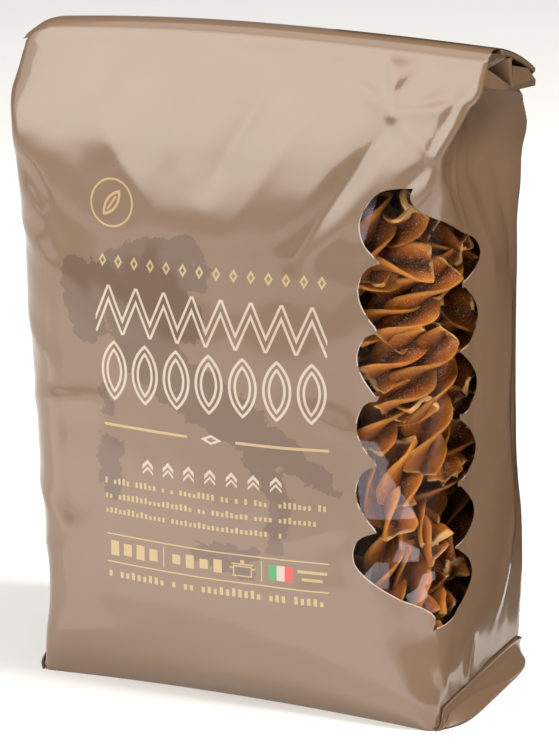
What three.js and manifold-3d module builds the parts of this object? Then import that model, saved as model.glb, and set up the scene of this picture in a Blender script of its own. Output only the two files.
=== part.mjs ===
// A sealed, flat-bottomed bag of wholemeal pasta spirals, standing upright.
// The film body is gusseted at both sides, its top is folded over to the back, and a tall
// scalloped window round the front right corner shows the pasta.
// Millimetres. X to the right, Y to the back, Z up, origin under the middle of the base.

import * as THREE from 'three';
import { mergeVertices } from 'three/addons/utils/BufferGeometryUtils.js';
import Module from 'manifold-3d';

const wasm = await Module();
wasm.setup();

// Driving dimensions

const fitGap = 0.35; // air between pieces that lie against each other
const ridgeHeight = 198; // fold at the top of the bag, in the middle
const footHeight = 4.5; // side flaps splay out below this level

const pane = {
  middle: 57.3, // along the film from the middle of the front
  height: 94.1, // level of its middle
  halfWidth: 13, // to the cusps between the scallops
  pitch: 19.775, // height of one scallop
  scallops: 4, // whole ones on each side, between the two hooked ends
  depthLeft: 6.3,
  depthRight: 10.5, // deeper where the film turns to the side
  facing: 42, // degrees from the front towards the right side
  pocketFloor: 30, // distance of the pocket's floor from the bag's axis
  beyondFilm: 90, // distance from the axis that clears the film everywhere
  filmThickness: 0.6,
  filmRoom: 6, // least distance of the clear film from the pocket's floor
  heapCore: 11, // thickness of the solid heap behind the spirals
};

// Top of the bag, folded over to the back. The drops are measured at the ends of the ridge.
const fold = {
  halfLength: 66,
  dropLeft: 3.2,
  dropRight: 1.5,
  cornerFrom: -62, // the left end rounds off beyond this
  cornerBend: 0.06,
  lipsPartFrom: 60, // the lips open between these distances from the middle
  lipsPartTo: 69,
  closedMouth: { y: 20.4, below: 15.2 },
  openMouth: { y: 8, below: 10 },
};

// Hollow at each end of the fold
const funnel = { end: 70, depth: 10, crownDrop: 2.3, shrink: 0.12, tip: { y: 2, below: 9.4 } };

const seam = { halfWidth: 5, thickness: 0.7, sunk: 3 };

const spiral = {
  radius: 6.6,
  bladeThickness: 1.9,
  rootRadius: 1.9,
  pitch: 74,
  rings: 8,
};

// Level above the table to a measure of the bag's section there
const profile = {
  frontY: [
    [0, -33.5], [10, -35], [110, -35], [140, -34],
    [164, -31], [180, -25], [190, -20], [196, -16],
  ],
  backY: [[0, 33], [10, 35], [45, 36], [110, 36], [145, 34], [165, 29], [180, 24], [196, 17]],
  backZ: [[0, 0], [100, 100], [140, 139], [164, 158], [180, 169], [196, 178]],
  frontLeft: [
    [0, 62], [25, 63], [60, 66.5], [100, 69], [130, 70],
    [164, 70.6], [180, 71.2], [190, 70.3], [196, 66],
  ],
  frontRight: [
    [0, 61.5], [25, 62], [100, 63.5], [135, 63],
    [155, 61], [164, 59.5], [180, 64], [196, 68.5],
  ],
  backRight: [
    [0, 65.5], [10, 65.5], [40, 65.8], [75, 63.8],
    [135, 63.6], [160, 64.8], [180, 68], [196, 68.5],
  ],
  backLeft: [[0, 62.5], [10, 64], [100, 63.5], [135, 64.5], [180, 66.5], [196, 66]],
  frontBulge: [[0, -3.5], [12, 1], [50, 4], [100, 5], [140, 4], [170, 1.5], [196, 0]],
  backBulge: [[0, 0], [15, 1.5], [60, 3.28], [120, 3.28], [160, 1.5], [180, 0], [196, 0]],
  rightBulge: [
    [0, 7], [4.5, 0], [8, 0], [25, 1.5], [70, 3],
    [130, 1.5], [160, -4], [180, -9], [190, -9], [196, -8],
  ],
  leftBulge: [
    [0, 5], [4.5, 0], [8, 0], [25, 1.5], [70, 3],
    [130, 1.5], [160, -4], [180, -9], [190, -9], [196, -8],
  ],
  leftRadius: [[0, 1], [6, 4], [15, 8], [30, 12], [60, 15], [130, 15], [150, 9], [164, 3], [196, 1]],
  rightRadius: [[0, 1], [6, 5], [15, 12], [30, 20], [60, 26], [130, 26], [150, 13], [164, 3], [196, 1]],
  backRadius: [[0, 1], [8, 2], [30, 3], [60, 6], [130, 7], [155, 4], [175, 2], [196, 1]],
};

const levels = [
  0, 2.5, 4.5, 9, 16, 26, 40, 58, 76, 94, 112, 128, 140, 148, 155, 160, 164, 170, 177, 184, 190, 194,
];
const arcPoints = 4;
const sidePoints = { front: 9, right: 5, back: 6, left: 5 };

// Smooth curve through keys that never overshoots them
function keyed(keys) {
  const slope = keys.slice(1).map((key, i) => (key[1] - keys[i][1]) / (key[0] - keys[i][0]));
  const tangent = keys.map((key, i) => {
    if (i === 0) return slope[0];
    if (i === keys.length - 1) return slope[i - 1];
    const product = slope[i - 1] * slope[i];
    return product <= 0 ? 0 : (2 * product) / (slope[i - 1] + slope[i]);
  });
  return (level) => {
    const x = THREE.MathUtils.clamp(level, keys[0][0], keys[keys.length - 1][0]);
    let i = 0;
    while (i < keys.length - 2 && x > keys[i + 1][0]) i += 1;
    const span = keys[i + 1][0] - keys[i][0];
    const t = (x - keys[i][0]) / span;
    const rise = keys[i + 1][1] - keys[i][1];
    const bend = tangent[i] * span * t * (1 - t) * (1 - t) - tangent[i + 1] * span * t * t * (1 - t);
    return keys[i][1] + rise * t * t * (3 - 2 * t) + bend;
  };
}

const at = Object.fromEntries(Object.entries(profile).map(([name, keys]) => [name, keyed(keys)]));

// Solids in and out of the boolean library

function toSolid(geometry) {
  const bare = geometry.clone();
  bare.deleteAttribute('normal');
  bare.deleteAttribute('uv');
  const merged = mergeVertices(bare, 1e-4);
  return new wasm.Manifold(new wasm.Mesh({
    numProp: 3,
    vertProperties: new Float32Array(merged.attributes.position.array),
    triVerts: new Uint32Array(merged.index.array),
  }));
}

function toGeometry(solid) {
  const mesh = solid.getMesh();
  const geometry = new THREE.BufferGeometry();
  geometry.setAttribute('position', new THREE.BufferAttribute(new Float32Array(mesh.vertProperties), 3));
  geometry.setIndex(new THREE.BufferAttribute(new Uint32Array(mesh.triVerts), 1));
  geometry.computeVertexNormals();
  return geometry;
}

// Skin over rings of points that all have the same count, closed by a fan at each end
function loft(rings, closeWith = 'fan') {
  const count = rings[0].length;
  const positions = rings.flat().flatMap((p) => [p.x, p.y, p.z]);
  const index = [];
  for (let ring = 0; ring < rings.length - 1; ring += 1) {
    for (let i = 0; i < count; i += 1) {
      const a = ring * count + i;
      const b = ring * count + ((i + 1) % count);
      index.push(a, b, b + count, a, b + count, a + count);
    }
  }
  [0, rings.length - 1].forEach((ring) => {
    const first = ring * count;
    const turned = ring === 0;
    const add = (a, b, c) => (turned ? index.push(a, c, b) : index.push(a, b, c));
    if (closeWith === 'fan') {
      const middle = rings[ring].reduce((sum, p) => sum.add(p), new THREE.Vector3()).divideScalar(count);
      const centre = positions.length / 3;
      positions.push(middle.x, middle.y, middle.z);
      for (let i = 0; i < count; i += 1) add(first + i, first + ((i + 1) % count), centre);
    } else {
      const flat = rings[ring].map((p) => new THREE.Vector2(p.y, p.z));
      const faces = THREE.ShapeUtils.triangulateShape(flat, []);
      faces.forEach(([a, b, c]) => add(first + a, first + b, first + c));
    }
  });
  const geometry = new THREE.BufferGeometry();
  geometry.setAttribute('position', new THREE.Float32BufferAttribute(positions, 3));
  geometry.setIndex(index);
  return geometry;
}

// How far a side stands out at a share of its width: gussets are creased down the middle
function sideSwell(t, level, bulge) {
  const round = 4 * t * (1 - t);
  const creased = 1 - Math.abs(2 * t - 1);
  if (level < footHeight) return 1 - (2 * t - 1) ** 6;
  if (bulge < 0) return 0.3 * round + 0.7 * creased;
  return round;
}

// One closed section of the bag, counter-clockwise seen from above, drawn in by inset all round
function sectionLoop(level, inset = 0) {
  const frontY = at.frontY(level) + inset;
  const backY = at.backY(level) - inset;
  const corners = [
    { x: inset - at.frontLeft(level), y: frontY, sx: 1, sy: 1, start: 180, radius: at.leftRadius(level) },
    { x: at.frontRight(level) - inset, y: frontY, sx: -1, sy: 1, start: 270, radius: at.rightRadius(level) },
    { x: at.backRight(level) - inset, y: backY, sx: -1, sy: -1, start: 0, radius: at.backRadius(level) },
    { x: inset - at.backLeft(level), y: backY, sx: 1, sy: -1, start: 90, radius: at.backRadius(level) },
  ];
  const arcs = corners.map(({ x, y, sx, sy, start, radius }) => {
    const points = [];
    for (let i = 0; i < arcPoints; i += 1) {
      const turn = THREE.MathUtils.degToRad(start + (90 * i) / (arcPoints - 1));
      const arcX = x + radius * (sx + Math.cos(turn));
      const arcY = y + radius * (sy + Math.sin(turn));
      points.push(new THREE.Vector2(arcX, arcY));
    }
    return points;
  });
  const bulges = [at.frontBulge(level), at.rightBulge(level), at.backBulge(level), at.leftBulge(level)];
  const counts = [sidePoints.front, sidePoints.right, sidePoints.back, sidePoints.left];
  const loop = [];
  arcs.forEach((arc, side) => {
    const from = arc[arcPoints - 1];
    const to = arcs[(side + 1) % 4][0];
    const along = to.clone().sub(from);
    const outward = new THREE.Vector2(along.y, -along.x).normalize();
    loop.push(...arc);
    for (let i = 1; i <= counts[side]; i += 1) {
      const t = i / (counts[side] + 1);
      const gusset = side % 2 === 1;
      const swell = gusset ? sideSwell(t, level, bulges[side]) : 4 * t * (1 - t);
      loop.push(from.clone().addScaledVector(along, t).addScaledVector(outward, bulges[side] * swell));
    }
  });
  const depth = backY - frontY;
  const fall = level - at.backZ(level);
  return loop.map((p) => {
    const back = THREE.MathUtils.clamp((p.y - frontY) / depth, 0, 1);
    return new THREE.Vector3(p.x, p.y, level - fall * back);
  });
}

function filmBody(inset = 0) {
  return toSolid(loft(levels.map((level) => sectionLoop(level, inset))));
}

// Point of the film at a distance along it from the middle of the front, to the right
function filmPoint(along, level) {
  const loop = sectionLoop(level);
  let i = loop.findIndex((p, k) => k >= arcPoints && p.x <= 0 && loop[k + 1].x > 0);
  const middleY = THREE.MathUtils.mapLinear(0, loop[i].x, loop[i + 1].x, loop[i].y, loop[i + 1].y);
  let from = new THREE.Vector3(0, middleY, level);
  let left = along;
  while (left > from.distanceTo(loop[i + 1])) {
    left -= from.distanceTo(loop[i + 1]);
    i += 1;
    from = loop[i];
  }
  return from.clone().lerp(loop[i + 1], left / from.distanceTo(loop[i + 1]));
}

// One section across the folded top, clockwise seen from the right
function foldLoop(x) {
  const drop = (x < 0 ? fold.dropLeft : fold.dropRight) * (x / fold.halfLength) ** 2;
  const corner = x < fold.cornerFrom ? fold.cornerBend * (x - fold.cornerFrom) ** 2 : 0;
  const crown = ridgeHeight - drop - corner;
  const open = THREE.MathUtils.smoothstep(Math.abs(x), fold.lipsPartFrom, fold.lipsPartTo);
  const mouthY = THREE.MathUtils.lerp(fold.closedMouth.y, fold.openMouth.y, open);
  const mouthBelow = THREE.MathUtils.lerp(fold.closedMouth.below, fold.openMouth.below, open);
  const outline = [
    [-18.7, 5.6], [-17.7, 2.6], [-16.2, 0.7], [-13.6, 0], [-7, 1], [1, 3.2], [13, 7.6], [23.5, 12.6],
    [22.4, 14.2], [mouthY, mouthBelow], [20.6, 15.8], [19.8, 18.2], [10, 16.6], [2, 14.8], [-9, 10.6],
  ];
  return outline.map(([y, below]) => new THREE.Vector3(x, y, crown - below)).reverse();
}

// Funnel left at one end of the fold by the tucked-in gusset: side is 1 on the right, -1 on the left
function gussetFunnel(side) {
  const { end, depth, crownDrop, shrink, tip } = funnel;
  const crown = ridgeHeight - crownDrop;
  const mouth = [[-13, 4.6], [5, 6.8], [17, 13.4], [17.5, 15.4], [2, 12.6]];
  const outer = mouth.map(([y, below]) => new THREE.Vector3(side * end, y, crown - below));
  const inner = mouth.map(([y, below]) => {
    const innerY = THREE.MathUtils.lerp(tip.y, y, shrink);
    const innerBelow = THREE.MathUtils.lerp(tip.below, below, shrink);
    return new THREE.Vector3(side * (end - depth), innerY, crown - innerBelow);
  });
  const rings = [inner, outer];
  if (side > 0) rings.forEach((ring) => ring.reverse());
  return toSolid(loft(rings));
}

function foldedTop() {
  const stations = [-70.5, -69, -66, -62, -50, -25, 0, 25, 50, 60, 65, 69.5];
  const slab = toSolid(loft(stations.map(foldLoop), 'ears'));
  return slab.subtract(gussetFunnel(1)).subtract(gussetFunnel(-1));
}

// Overlap seam down the middle of the back
function backSeam() {
  const { halfWidth, thickness, sunk } = seam;
  const rings = levels.slice(1, -1).map((level) => {
    const y = at.backY(level) + at.backBulge(level);
    const z = at.backZ(level);
    return [
      new THREE.Vector3(-halfWidth, y - sunk, z),
      new THREE.Vector3(halfWidth, y - sunk, z),
      new THREE.Vector3(halfWidth, y + thickness, z),
      new THREE.Vector3(-halfWidth, y + thickness, z),
    ];
  });
  return toSolid(loft(rings));
}

// Scalloped outline of the window, as distances along the film and levels.
// One half is a round lobe, a hooked tip and a run of scallops: the other is the same turned over.
function windowOutline(steps = 5) {
  const { middle, height, halfWidth, pitch, scallops, depthLeft, depthRight } = pane;
  const spline = (points, count) => {
    const curve = new THREE.SplineCurve(points.map(([x, y]) => new THREE.Vector2(x, y)));
    return curve.getPoints(count).slice(0, -1);
  };
  const top = halfWidth + 22.4; // level of the cusp under the hooked tip
  const lobe = [
    [-halfWidth, 43.7], [-17.8, 48.9], [-19.3, 54.9], [-17.1, 60.5], [-12.7, 64.5], [-4.4, 65.9],
  ];
  const hook = [
    [-4.4, 65.9], [-4.9, 62.4], [-0.8, 58.9], [7.5, 54.9], [17.5, 48.3], [20.1, 42.9], [18, 37.7],
    [halfWidth, top],
  ];
  const half = [...spline(lobe, 7), ...spline(hook, 13)];
  const peak = 0.42; // share of a scallop's height, from its lower cusp, where it is widest
  for (let i = 0; i < scallops * steps; i += 1) {
    const p = 1 - (i % steps) / steps;
    const below = Math.sqrt(Math.max(0, 1 - ((peak - p) / peak) ** 2));
    const above = Math.cos((Math.PI / 2) * ((p - peak) / (1 - peak)));
    const swell = p < peak ? below : above;
    half.push(new THREE.Vector2(halfWidth + depthLeft * swell, top - (pitch * i) / steps));
  }
  const whole = [...half, ...half.map((p) => p.clone().negate())];
  return whole.map(({ x, y }) => {
    const stretched = x > halfWidth ? halfWidth + ((x - halfWidth) * depthRight) / depthLeft : x;
    return [middle + stretched, height + y];
  }).reverse();
}

const facing = THREE.MathUtils.degToRad(pane.facing);
const outwards = new THREE.Vector3(Math.sin(facing), -Math.cos(facing), 0);
const across = new THREE.Vector3(Math.cos(facing), Math.sin(facing), 0);

// Prism behind the window's outline, between two distances from the bag's axis
function windowPrism(inset, near, far) {
  const outline = windowOutline().map(([along, level]) => {
    const p = filmPoint(along, level);
    return new THREE.Vector2(p.dot(across), p.z);
  });
  const shrunk = outline.map((p, i) => {
    const before = outline[(i + outline.length - 1) % outline.length];
    const after = outline[(i + 1) % outline.length];
    const inwardBefore = new THREE.Vector2(before.y - p.y, p.x - before.x).normalize();
    const inwardAfter = new THREE.Vector2(p.y - after.y, after.x - p.x).normalize();
    const inward = inwardBefore.add(inwardAfter).normalize();
    return p.clone().addScaledVector(inward, inset);
  });
  const shape = new THREE.Shape(shrunk);
  const geometry = new THREE.ExtrudeGeometry(shape, { depth: far - near, bevelEnabled: false });
  geometry.applyMatrix4(new THREE.Matrix4().makeBasis(across, new THREE.Vector3(0, 0, 1), outwards));
  geometry.translate(outwards.x * near, outwards.y * near, 0);
  return toSolid(geometry);
}

// One pasta spiral: three thin blades twisted about a straight axis
function pastaSpiral({ along, level, tilt, length, sunk, turn }) {
  const { radius, bladeThickness, rootRadius, pitch, rings } = spiral;
  const loops = [];
  for (let ring = 0; ring < rings; ring += 1) {
    const z = (ring / (rings - 1) - 0.5) * length;
    const twist = turn + (z / pitch) * Math.PI * 2;
    const loop = [];
    for (let blade = 0; blade < 3; blade += 1) {
      const angle = twist + (blade * Math.PI * 2) / 3;
      const spread = bladeThickness / 2 / radius;
      const corners = [
        [angle - Math.PI / 3, rootRadius],
        [angle - spread, radius],
        [angle + spread, radius],
      ];
      corners.forEach(([a, r]) => loop.push(new THREE.Vector3(r * Math.cos(a), r * Math.sin(a), z)));
    }
    loops.push(loop);
  }
  const geometry = loft(loops);
  const surface = filmPoint(along, level);
  const inwards = outwards.clone().negate();
  const place = new THREE.Matrix4().makeBasis(across, inwards, new THREE.Vector3(0, 0, 1));
  const lean = new THREE.Matrix4().makeRotationY(THREE.MathUtils.degToRad(90 - tilt));
  geometry.applyMatrix4(lean);
  geometry.applyMatrix4(place);
  const centre = surface.addScaledVector(outwards, -sunk);
  geometry.translate(centre.x, centre.y, centre.z);
  return toSolid(geometry);
}

// Where the spirals lie behind the window: tilt is from level, up to the right, in degrees
const spirals = [
  { along: 50, level: 152, tilt: 70, length: 26, sunk: 9, turn: 0.3 },
  { along: 72, level: 138, tilt: 40, length: 26, sunk: 9, turn: 1.1 },
  { along: 47, level: 136, tilt: -35, length: 30, sunk: 9, turn: 0.2 },
  { along: 60, level: 124, tilt: 2, length: 38, sunk: 8, turn: 0.5 },
  { along: 52, level: 113, tilt: 6, length: 38, sunk: 8, turn: 1.6 },
  { along: 66, level: 103, tilt: 28, length: 34, sunk: 8, turn: 0.9 },
  { along: 50, level: 98, tilt: 20, length: 34, sunk: 9, turn: 0.1 },
  { along: 72, level: 90, tilt: 50, length: 34, sunk: 9, turn: 1.9 },
  { along: 58, level: 84, tilt: 42, length: 38, sunk: 8, turn: 1.2 },
  { along: 44, level: 78, tilt: 20, length: 28, sunk: 9, turn: 0.7 },
  { along: 75, level: 70, tilt: 68, length: 32, sunk: 9, turn: 0.4 },
  { along: 56, level: 64, tilt: -70, length: 30, sunk: 8, turn: 1.5 },
  { along: 68, level: 52, tilt: -75, length: 36, sunk: 8, turn: 0.2 },
  { along: 48, level: 52, tilt: 82, length: 28, sunk: 9, turn: 1.0 },
  { along: 60, level: 42, tilt: -60, length: 30, sunk: 9, turn: 0.6 },
  { along: 74, level: 36, tilt: 75, length: 28, sunk: 9, turn: 1.8 },
];

function pastaHeap() {
  const { pocketFloor, heapCore, beyondFilm, filmThickness } = pane;
  const core = windowPrism(fitGap, pocketFloor + fitGap, pocketFloor + heapCore);
  const heap = spirals.reduce((sum, piece) => sum.add(pastaSpiral(piece)), core);
  const pocket = windowPrism(fitGap, pocketFloor + fitGap, beyondFilm);
  return heap.intersect(pocket.intersect(filmBody(filmThickness + fitGap)));
}

function bagFilm() {
  const body = filmBody().add(foldedTop()).add(backSeam());
  return body.subtract(windowPrism(0, pane.pocketFloor, pane.beyondFilm));
}

function windowPane() {
  const { pocketFloor, filmRoom, beyondFilm, filmThickness } = pane;
  const front = windowPrism(fitGap, pocketFloor + filmRoom, beyondFilm);
  return filmBody().intersect(front).subtract(filmBody(filmThickness));
}

// The largest closed body of a solid, without the loose scraps that a cut may leave
function largest(solid) {
  return solid.decompose().sort((a, b) => b.volume() - a.volume())[0];
}

const finishes = {
  film: new THREE.MeshStandardMaterial({ color: 0xa58c78, roughness: 0.38, metalness: 0 }),
  pasta: new THREE.MeshStandardMaterial({ color: 0x8a5526, roughness: 0.6, metalness: 0 }),
  clearFilm: new THREE.MeshStandardMaterial({
    color: 0xd9d4cc, roughness: 0.12, transparent: true, opacity: 0.25,
  }),
};

function named(name, solid, material) {
  const mesh = new THREE.Mesh(toGeometry(largest(solid)), material);
  mesh.name = name;
  return mesh;
}

const group = new THREE.Group();
group.add(named('bag', bagFilm(), finishes.film));
group.add(named('pasta', pastaHeap(), finishes.pasta));
group.add(named('window_film', windowPane(), finishes.clearFilm));

export default group;
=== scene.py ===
import math
import random

import bmesh
import bpy
import numpy as np
from mathutils import Matrix, Vector, kdtree, noise


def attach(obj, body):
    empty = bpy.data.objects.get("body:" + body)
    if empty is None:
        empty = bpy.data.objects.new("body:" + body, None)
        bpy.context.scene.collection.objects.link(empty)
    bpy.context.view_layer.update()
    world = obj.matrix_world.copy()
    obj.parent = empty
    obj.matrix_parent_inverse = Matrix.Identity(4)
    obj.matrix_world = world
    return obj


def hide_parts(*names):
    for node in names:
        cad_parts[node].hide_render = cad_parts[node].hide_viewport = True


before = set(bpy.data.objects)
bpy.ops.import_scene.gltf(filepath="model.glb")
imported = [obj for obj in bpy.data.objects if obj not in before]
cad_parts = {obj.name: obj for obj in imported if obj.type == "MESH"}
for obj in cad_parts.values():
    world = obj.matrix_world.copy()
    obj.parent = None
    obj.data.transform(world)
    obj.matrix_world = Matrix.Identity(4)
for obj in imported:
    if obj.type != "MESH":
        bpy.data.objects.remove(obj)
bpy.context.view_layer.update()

mm = 0.001
scene = bpy.context.scene
scene.view_settings.view_transform = "Standard"

camera = {
    "azimuth": 22,
    "elevation": 18,
    "distance": 1.0,
    "aim": (0.0005, 0, 0.090),
    "focalPixels": 3400,
    "longSide": 752,
    "sensor": 36,
}


# From the foot up, a side panel bulges out at first and is then drawn in as a gusset
sidePanel = [(4.5, 0), (8, 0), (25, 1.5), (70, 3), (130, 1.5), (160, -4), (180, -9), (190, -9), (196, -8)]

# Sections of the bag, in millimetres: each row of keys is (level above the table, measure there)
bag = {
    "frontY": [
        (0, -33.5), (10, -35), (110, -35), (140, -34), (164, -31), (180, -25), (190, -20), (196, -16),
    ],
    "backY": [(0, 33), (10, 35), (45, 36), (110, 36), (145, 34), (165, 29), (180, 24), (196, 17)],
    "backZ": [(0, 0), (100, 100), (140, 139), (164, 158), (180, 169), (196, 178)],
    "frontLeft": [
        (0, 62), (25, 63), (60, 66.5), (100, 69), (130, 70),
        (164, 70.6), (180, 71.2), (190, 70.3), (196, 66),
    ],
    "frontRight": [
        (0, 61.5), (25, 62), (100, 63.5), (135, 63), (155, 61), (164, 59.5), (180, 64), (196, 68.5),
    ],
    "backRight": [
        (0, 65.5), (10, 65.5), (40, 65.8), (75, 63.8), (135, 63.6), (160, 64.8), (180, 68), (196, 68.5),
    ],
    "backLeft": [(0, 62.5), (10, 64), (100, 63.5), (135, 64.5), (180, 66.5), (196, 66)],
    "frontBulge": [(0, -3.5), (12, 1), (50, 4), (100, 5), (140, 4), (170, 1.5), (196, 0)],
    "backBulge": [(0, 0), (15, 1.5), (60, 3.28), (120, 3.28), (160, 1.5), (180, 0), (196, 0)],
    "rightBulge": [(0, 7)] + sidePanel,
    "leftBulge": [(0, 5)] + sidePanel,
    "leftRadius": [(0, 1), (6, 4), (15, 8), (30, 12), (60, 15), (130, 15), (150, 9), (164, 3), (196, 1)],
    "rightRadius": [(0, 1), (6, 5), (15, 12), (30, 20), (60, 26), (130, 26), (150, 13), (164, 3), (196, 1)],
    "backRadius": [(0, 1), (8, 2), (30, 3), (60, 6), (130, 7), (155, 4), (175, 2), (196, 1)],
}

wrap = {
    "top": 196,             # last level of the tube; the front goes on over the fold
    "halfRound": 203,       # half the way round, from the middle of the front to the middle of the back
    "straight": 110,        # along the film is true to size up to here on either side
    "footHeight": 4.5,
    "ridge": 198,
    "foldFrom": 181,        # the front panel starts to follow the fold here
    "foldTo": 189,
    "foldPanel": 68.5,      # this far along the film the front panel is stretched
    "foldLeft": 70.6,       # to so much on the left of the fold
    "foldRight": 70,        # and on its right
    "foldEnds": (-70.9, 69.8),
    "split": 69.6,          # above the tube the front panel is parted from the sides here
    "tuck": 202,            # sides and back go on up to here, tucked in under the fold
}


def keyed(keys):
    x = np.array([k[0] for k in keys], float)
    y = np.array([k[1] for k in keys], float)
    slope = np.diff(y) / np.diff(x)
    tangent = np.zeros(len(x))
    tangent[0] = slope[0]
    tangent[-1] = slope[-1]
    for i in range(1, len(x) - 1):
        product = slope[i - 1] * slope[i]
        tangent[i] = 0 if product <= 0 else 2 * product / (slope[i - 1] + slope[i])

    def value(level):
        level = np.clip(level, x[0], x[-1])
        i = np.clip(np.searchsorted(x, level, side="right") - 1, 0, len(x) - 2)
        span = x[i + 1] - x[i]
        t = (level - x[i]) / span
        bend = tangent[i] * span * t * (1 - t) ** 2 - tangent[i + 1] * span * t * t * (1 - t)
        return y[i] + (y[i + 1] - y[i]) * t * t * (3 - 2 * t) + bend

    return value


at = {name: keyed(keys) for name, keys in bag.items()}


def smooth(x, low, high):
    t = np.clip((x - low) / (high - low), 0, 1)
    return t * t * (3 - 2 * t)


def sectionLoop(level, arcPoints=10, sidePoints=48):
    frontY = at["frontY"](level)
    backY = at["backY"](level)
    corners = [
        (-at["frontLeft"](level), frontY, 1, 1, 180, at["leftRadius"](level)),
        (at["frontRight"](level), frontY, -1, 1, 270, at["rightRadius"](level)),
        (at["backRight"](level), backY, -1, -1, 0, at["backRadius"](level)),
        (-at["backLeft"](level), backY, 1, -1, 90, at["backRadius"](level)),
    ]
    bulges = [at[side](level) for side in ("frontBulge", "rightBulge", "backBulge", "leftBulge")]
    arcs = []
    for x, y, sx, sy, start, radius in corners:
        turn = np.radians(start + np.linspace(0, 90, arcPoints))
        arcs.append(np.stack([x + radius * (sx + np.cos(turn)), y + radius * (sy + np.sin(turn))], 1))
    loop = []
    for side in range(4):
        first = arcs[side][-1]
        last = arcs[(side + 1) % 4][0]
        t = np.linspace(0, 1, sidePoints + 2)[1:-1]
        along = last - first
        outward = np.array([along[1], -along[0]]) / np.hypot(*along)
        swell = 4 * t * (1 - t)
        if side % 2 == 1 and level < wrap["footHeight"]:
            swell = 1 - (2 * t - 1) ** 6
        elif side % 2 == 1 and bulges[side] < 0:
            swell = 0.3 * swell + 0.7 * (1 - np.abs(2 * t - 1))
        loop.append(arcs[side])
        loop.append(first + along * t[:, None] + outward * (bulges[side] * swell)[:, None])
    loop = np.concatenate(loop)
    back = np.clip((loop[:, 1] - frontY) / (backY - frontY), 0, 1)
    z = level - (level - at["backZ"](level)) * back
    return np.concatenate([loop, z[:, None]], 1)


# The film's place for every millimetre of its height and half millimetre of its way round
aroundStep = 0.5
around = np.arange(-wrap["halfRound"], wrap["halfRound"] + aroundStep, aroundStep)


def filmTable():
    rows = []
    for level in range(wrap["top"] + 1):
        loop = sectionLoop(float(level))
        loop = np.concatenate([loop, loop[:1]])
        way = np.concatenate([[0], np.cumsum(np.linalg.norm(np.diff(loop, axis=0), axis=1))])
        length = way[-1]
        front = [i for i in range(10, 60) if loop[i, 0] <= 0 < loop[i + 1, 0]][0]
        share = -loop[front, 0] / (loop[front + 1, 0] - loop[front, 0])
        middle = way[front] + share * (way[front + 1] - way[front])
        beyond = (length / 2 - wrap["straight"]) / (wrap["halfRound"] - wrap["straight"])
        outer = np.maximum(np.abs(around) - wrap["straight"], 0) * beyond
        place = np.sign(around) * (np.minimum(np.abs(around), wrap["straight"]) + outer)
        place = np.mod(place + middle, length)
        rows.append(np.stack([np.interp(place, way, loop[:, k]) for k in range(3)], 1))
    return np.array(rows)


filmRows = filmTable()


def onTube(u, level):
    level = np.clip(level, 0, wrap["top"] - 1e-6)
    row = np.floor(level).astype(int)
    down = (level - row)[:, None]
    place = np.clip((u + wrap["halfRound"]) / aroundStep, 0, len(around) - 1.001)
    column = np.floor(place).astype(int)
    right = (place - column)[:, None]
    low = filmRows[row, column] * (1 - right) + filmRows[row, column + 1] * right
    high = filmRows[row + 1, column] * (1 - right) + filmRows[row + 1, column + 1] * right
    return low * (1 - down) + high * down


# Way of the front panel over the ridge and down the back, as (y, below the ridge)
overRidge = [
    (-23.2, 13.0), (-20.9, 8.4), (-19.2, 5.0), (-17.7, 2.2), (-15.9, 0.6), (-13.4, 0.0), (-10, 0.35),
    (-6, 1.2), (1, 3.2), (7, 5.3), (13, 7.6), (19, 10.3), (23.6, 12.5), (24.3, 13.4),
]
turnedUnder = [(23.6, 14.3), (21, 14.6), (16, 13.6)]
foldWay = np.array(overRidge + turnedUnder)
foldDistance = np.concatenate([[0], np.cumsum(np.linalg.norm(np.diff(foldWay, axis=0), axis=1))])
foldLength = float(foldDistance[-1])


ridgeLine = {
    "halfLength": 66,
    "dropLeft": 3.2,        # how much lower the ridge is at its left and its right end
    "dropRight": 1.5,
    "cornerFrom": -62,      # the left corner is rounded off from here
    "cornerDrop": 0.045,
}

underFold = {
    "sink": (165, 190),     # between these levels the tube comes to follow the ridge
    "sides": (66, 71),      # along the film, where the front panel's turn over the ridge dies out
    "rise": 0.9,            # how steeply the sides and the back go on up inside the fold
    "riseAlong": (74, 96),
    "drawIn": 0.4,          # how far they are drawn in as they rise
    "drawAcross": (50, 66),
    "drawBack": (0, 14),
    "swell": 2.0,           # the left edge swells out just under the fold
    "swellAlong": (45, 68),
    "swellFrom": (160, 182),
    "swellTo": (194, 202),
}


def ridgeAt(x):
    halfLength = ridgeLine["halfLength"]
    start = ridgeLine["cornerFrom"]
    drop = np.where(x < 0, ridgeLine["dropLeft"], ridgeLine["dropRight"]) * (x / halfLength) ** 2
    corner = np.where(x < start, ridgeLine["cornerDrop"] * (x - start) ** 2, 0)
    return wrap["ridge"] - drop - corner


def onFold(u, level):
    x = u * np.where(u < 0, wrap["foldLeft"], wrap["foldRight"]) / wrap["foldPanel"]
    x = np.clip(x, *wrap["foldEnds"])
    t = np.clip(level - (wrap["ridge"] - foldWay[0, 1]), 0, foldLength)
    y = np.interp(t, foldDistance, foldWay[:, 0])
    below = np.interp(t, foldDistance, foldWay[:, 1])
    return np.stack([x, y, ridgeAt(x) - below], 1)


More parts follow.
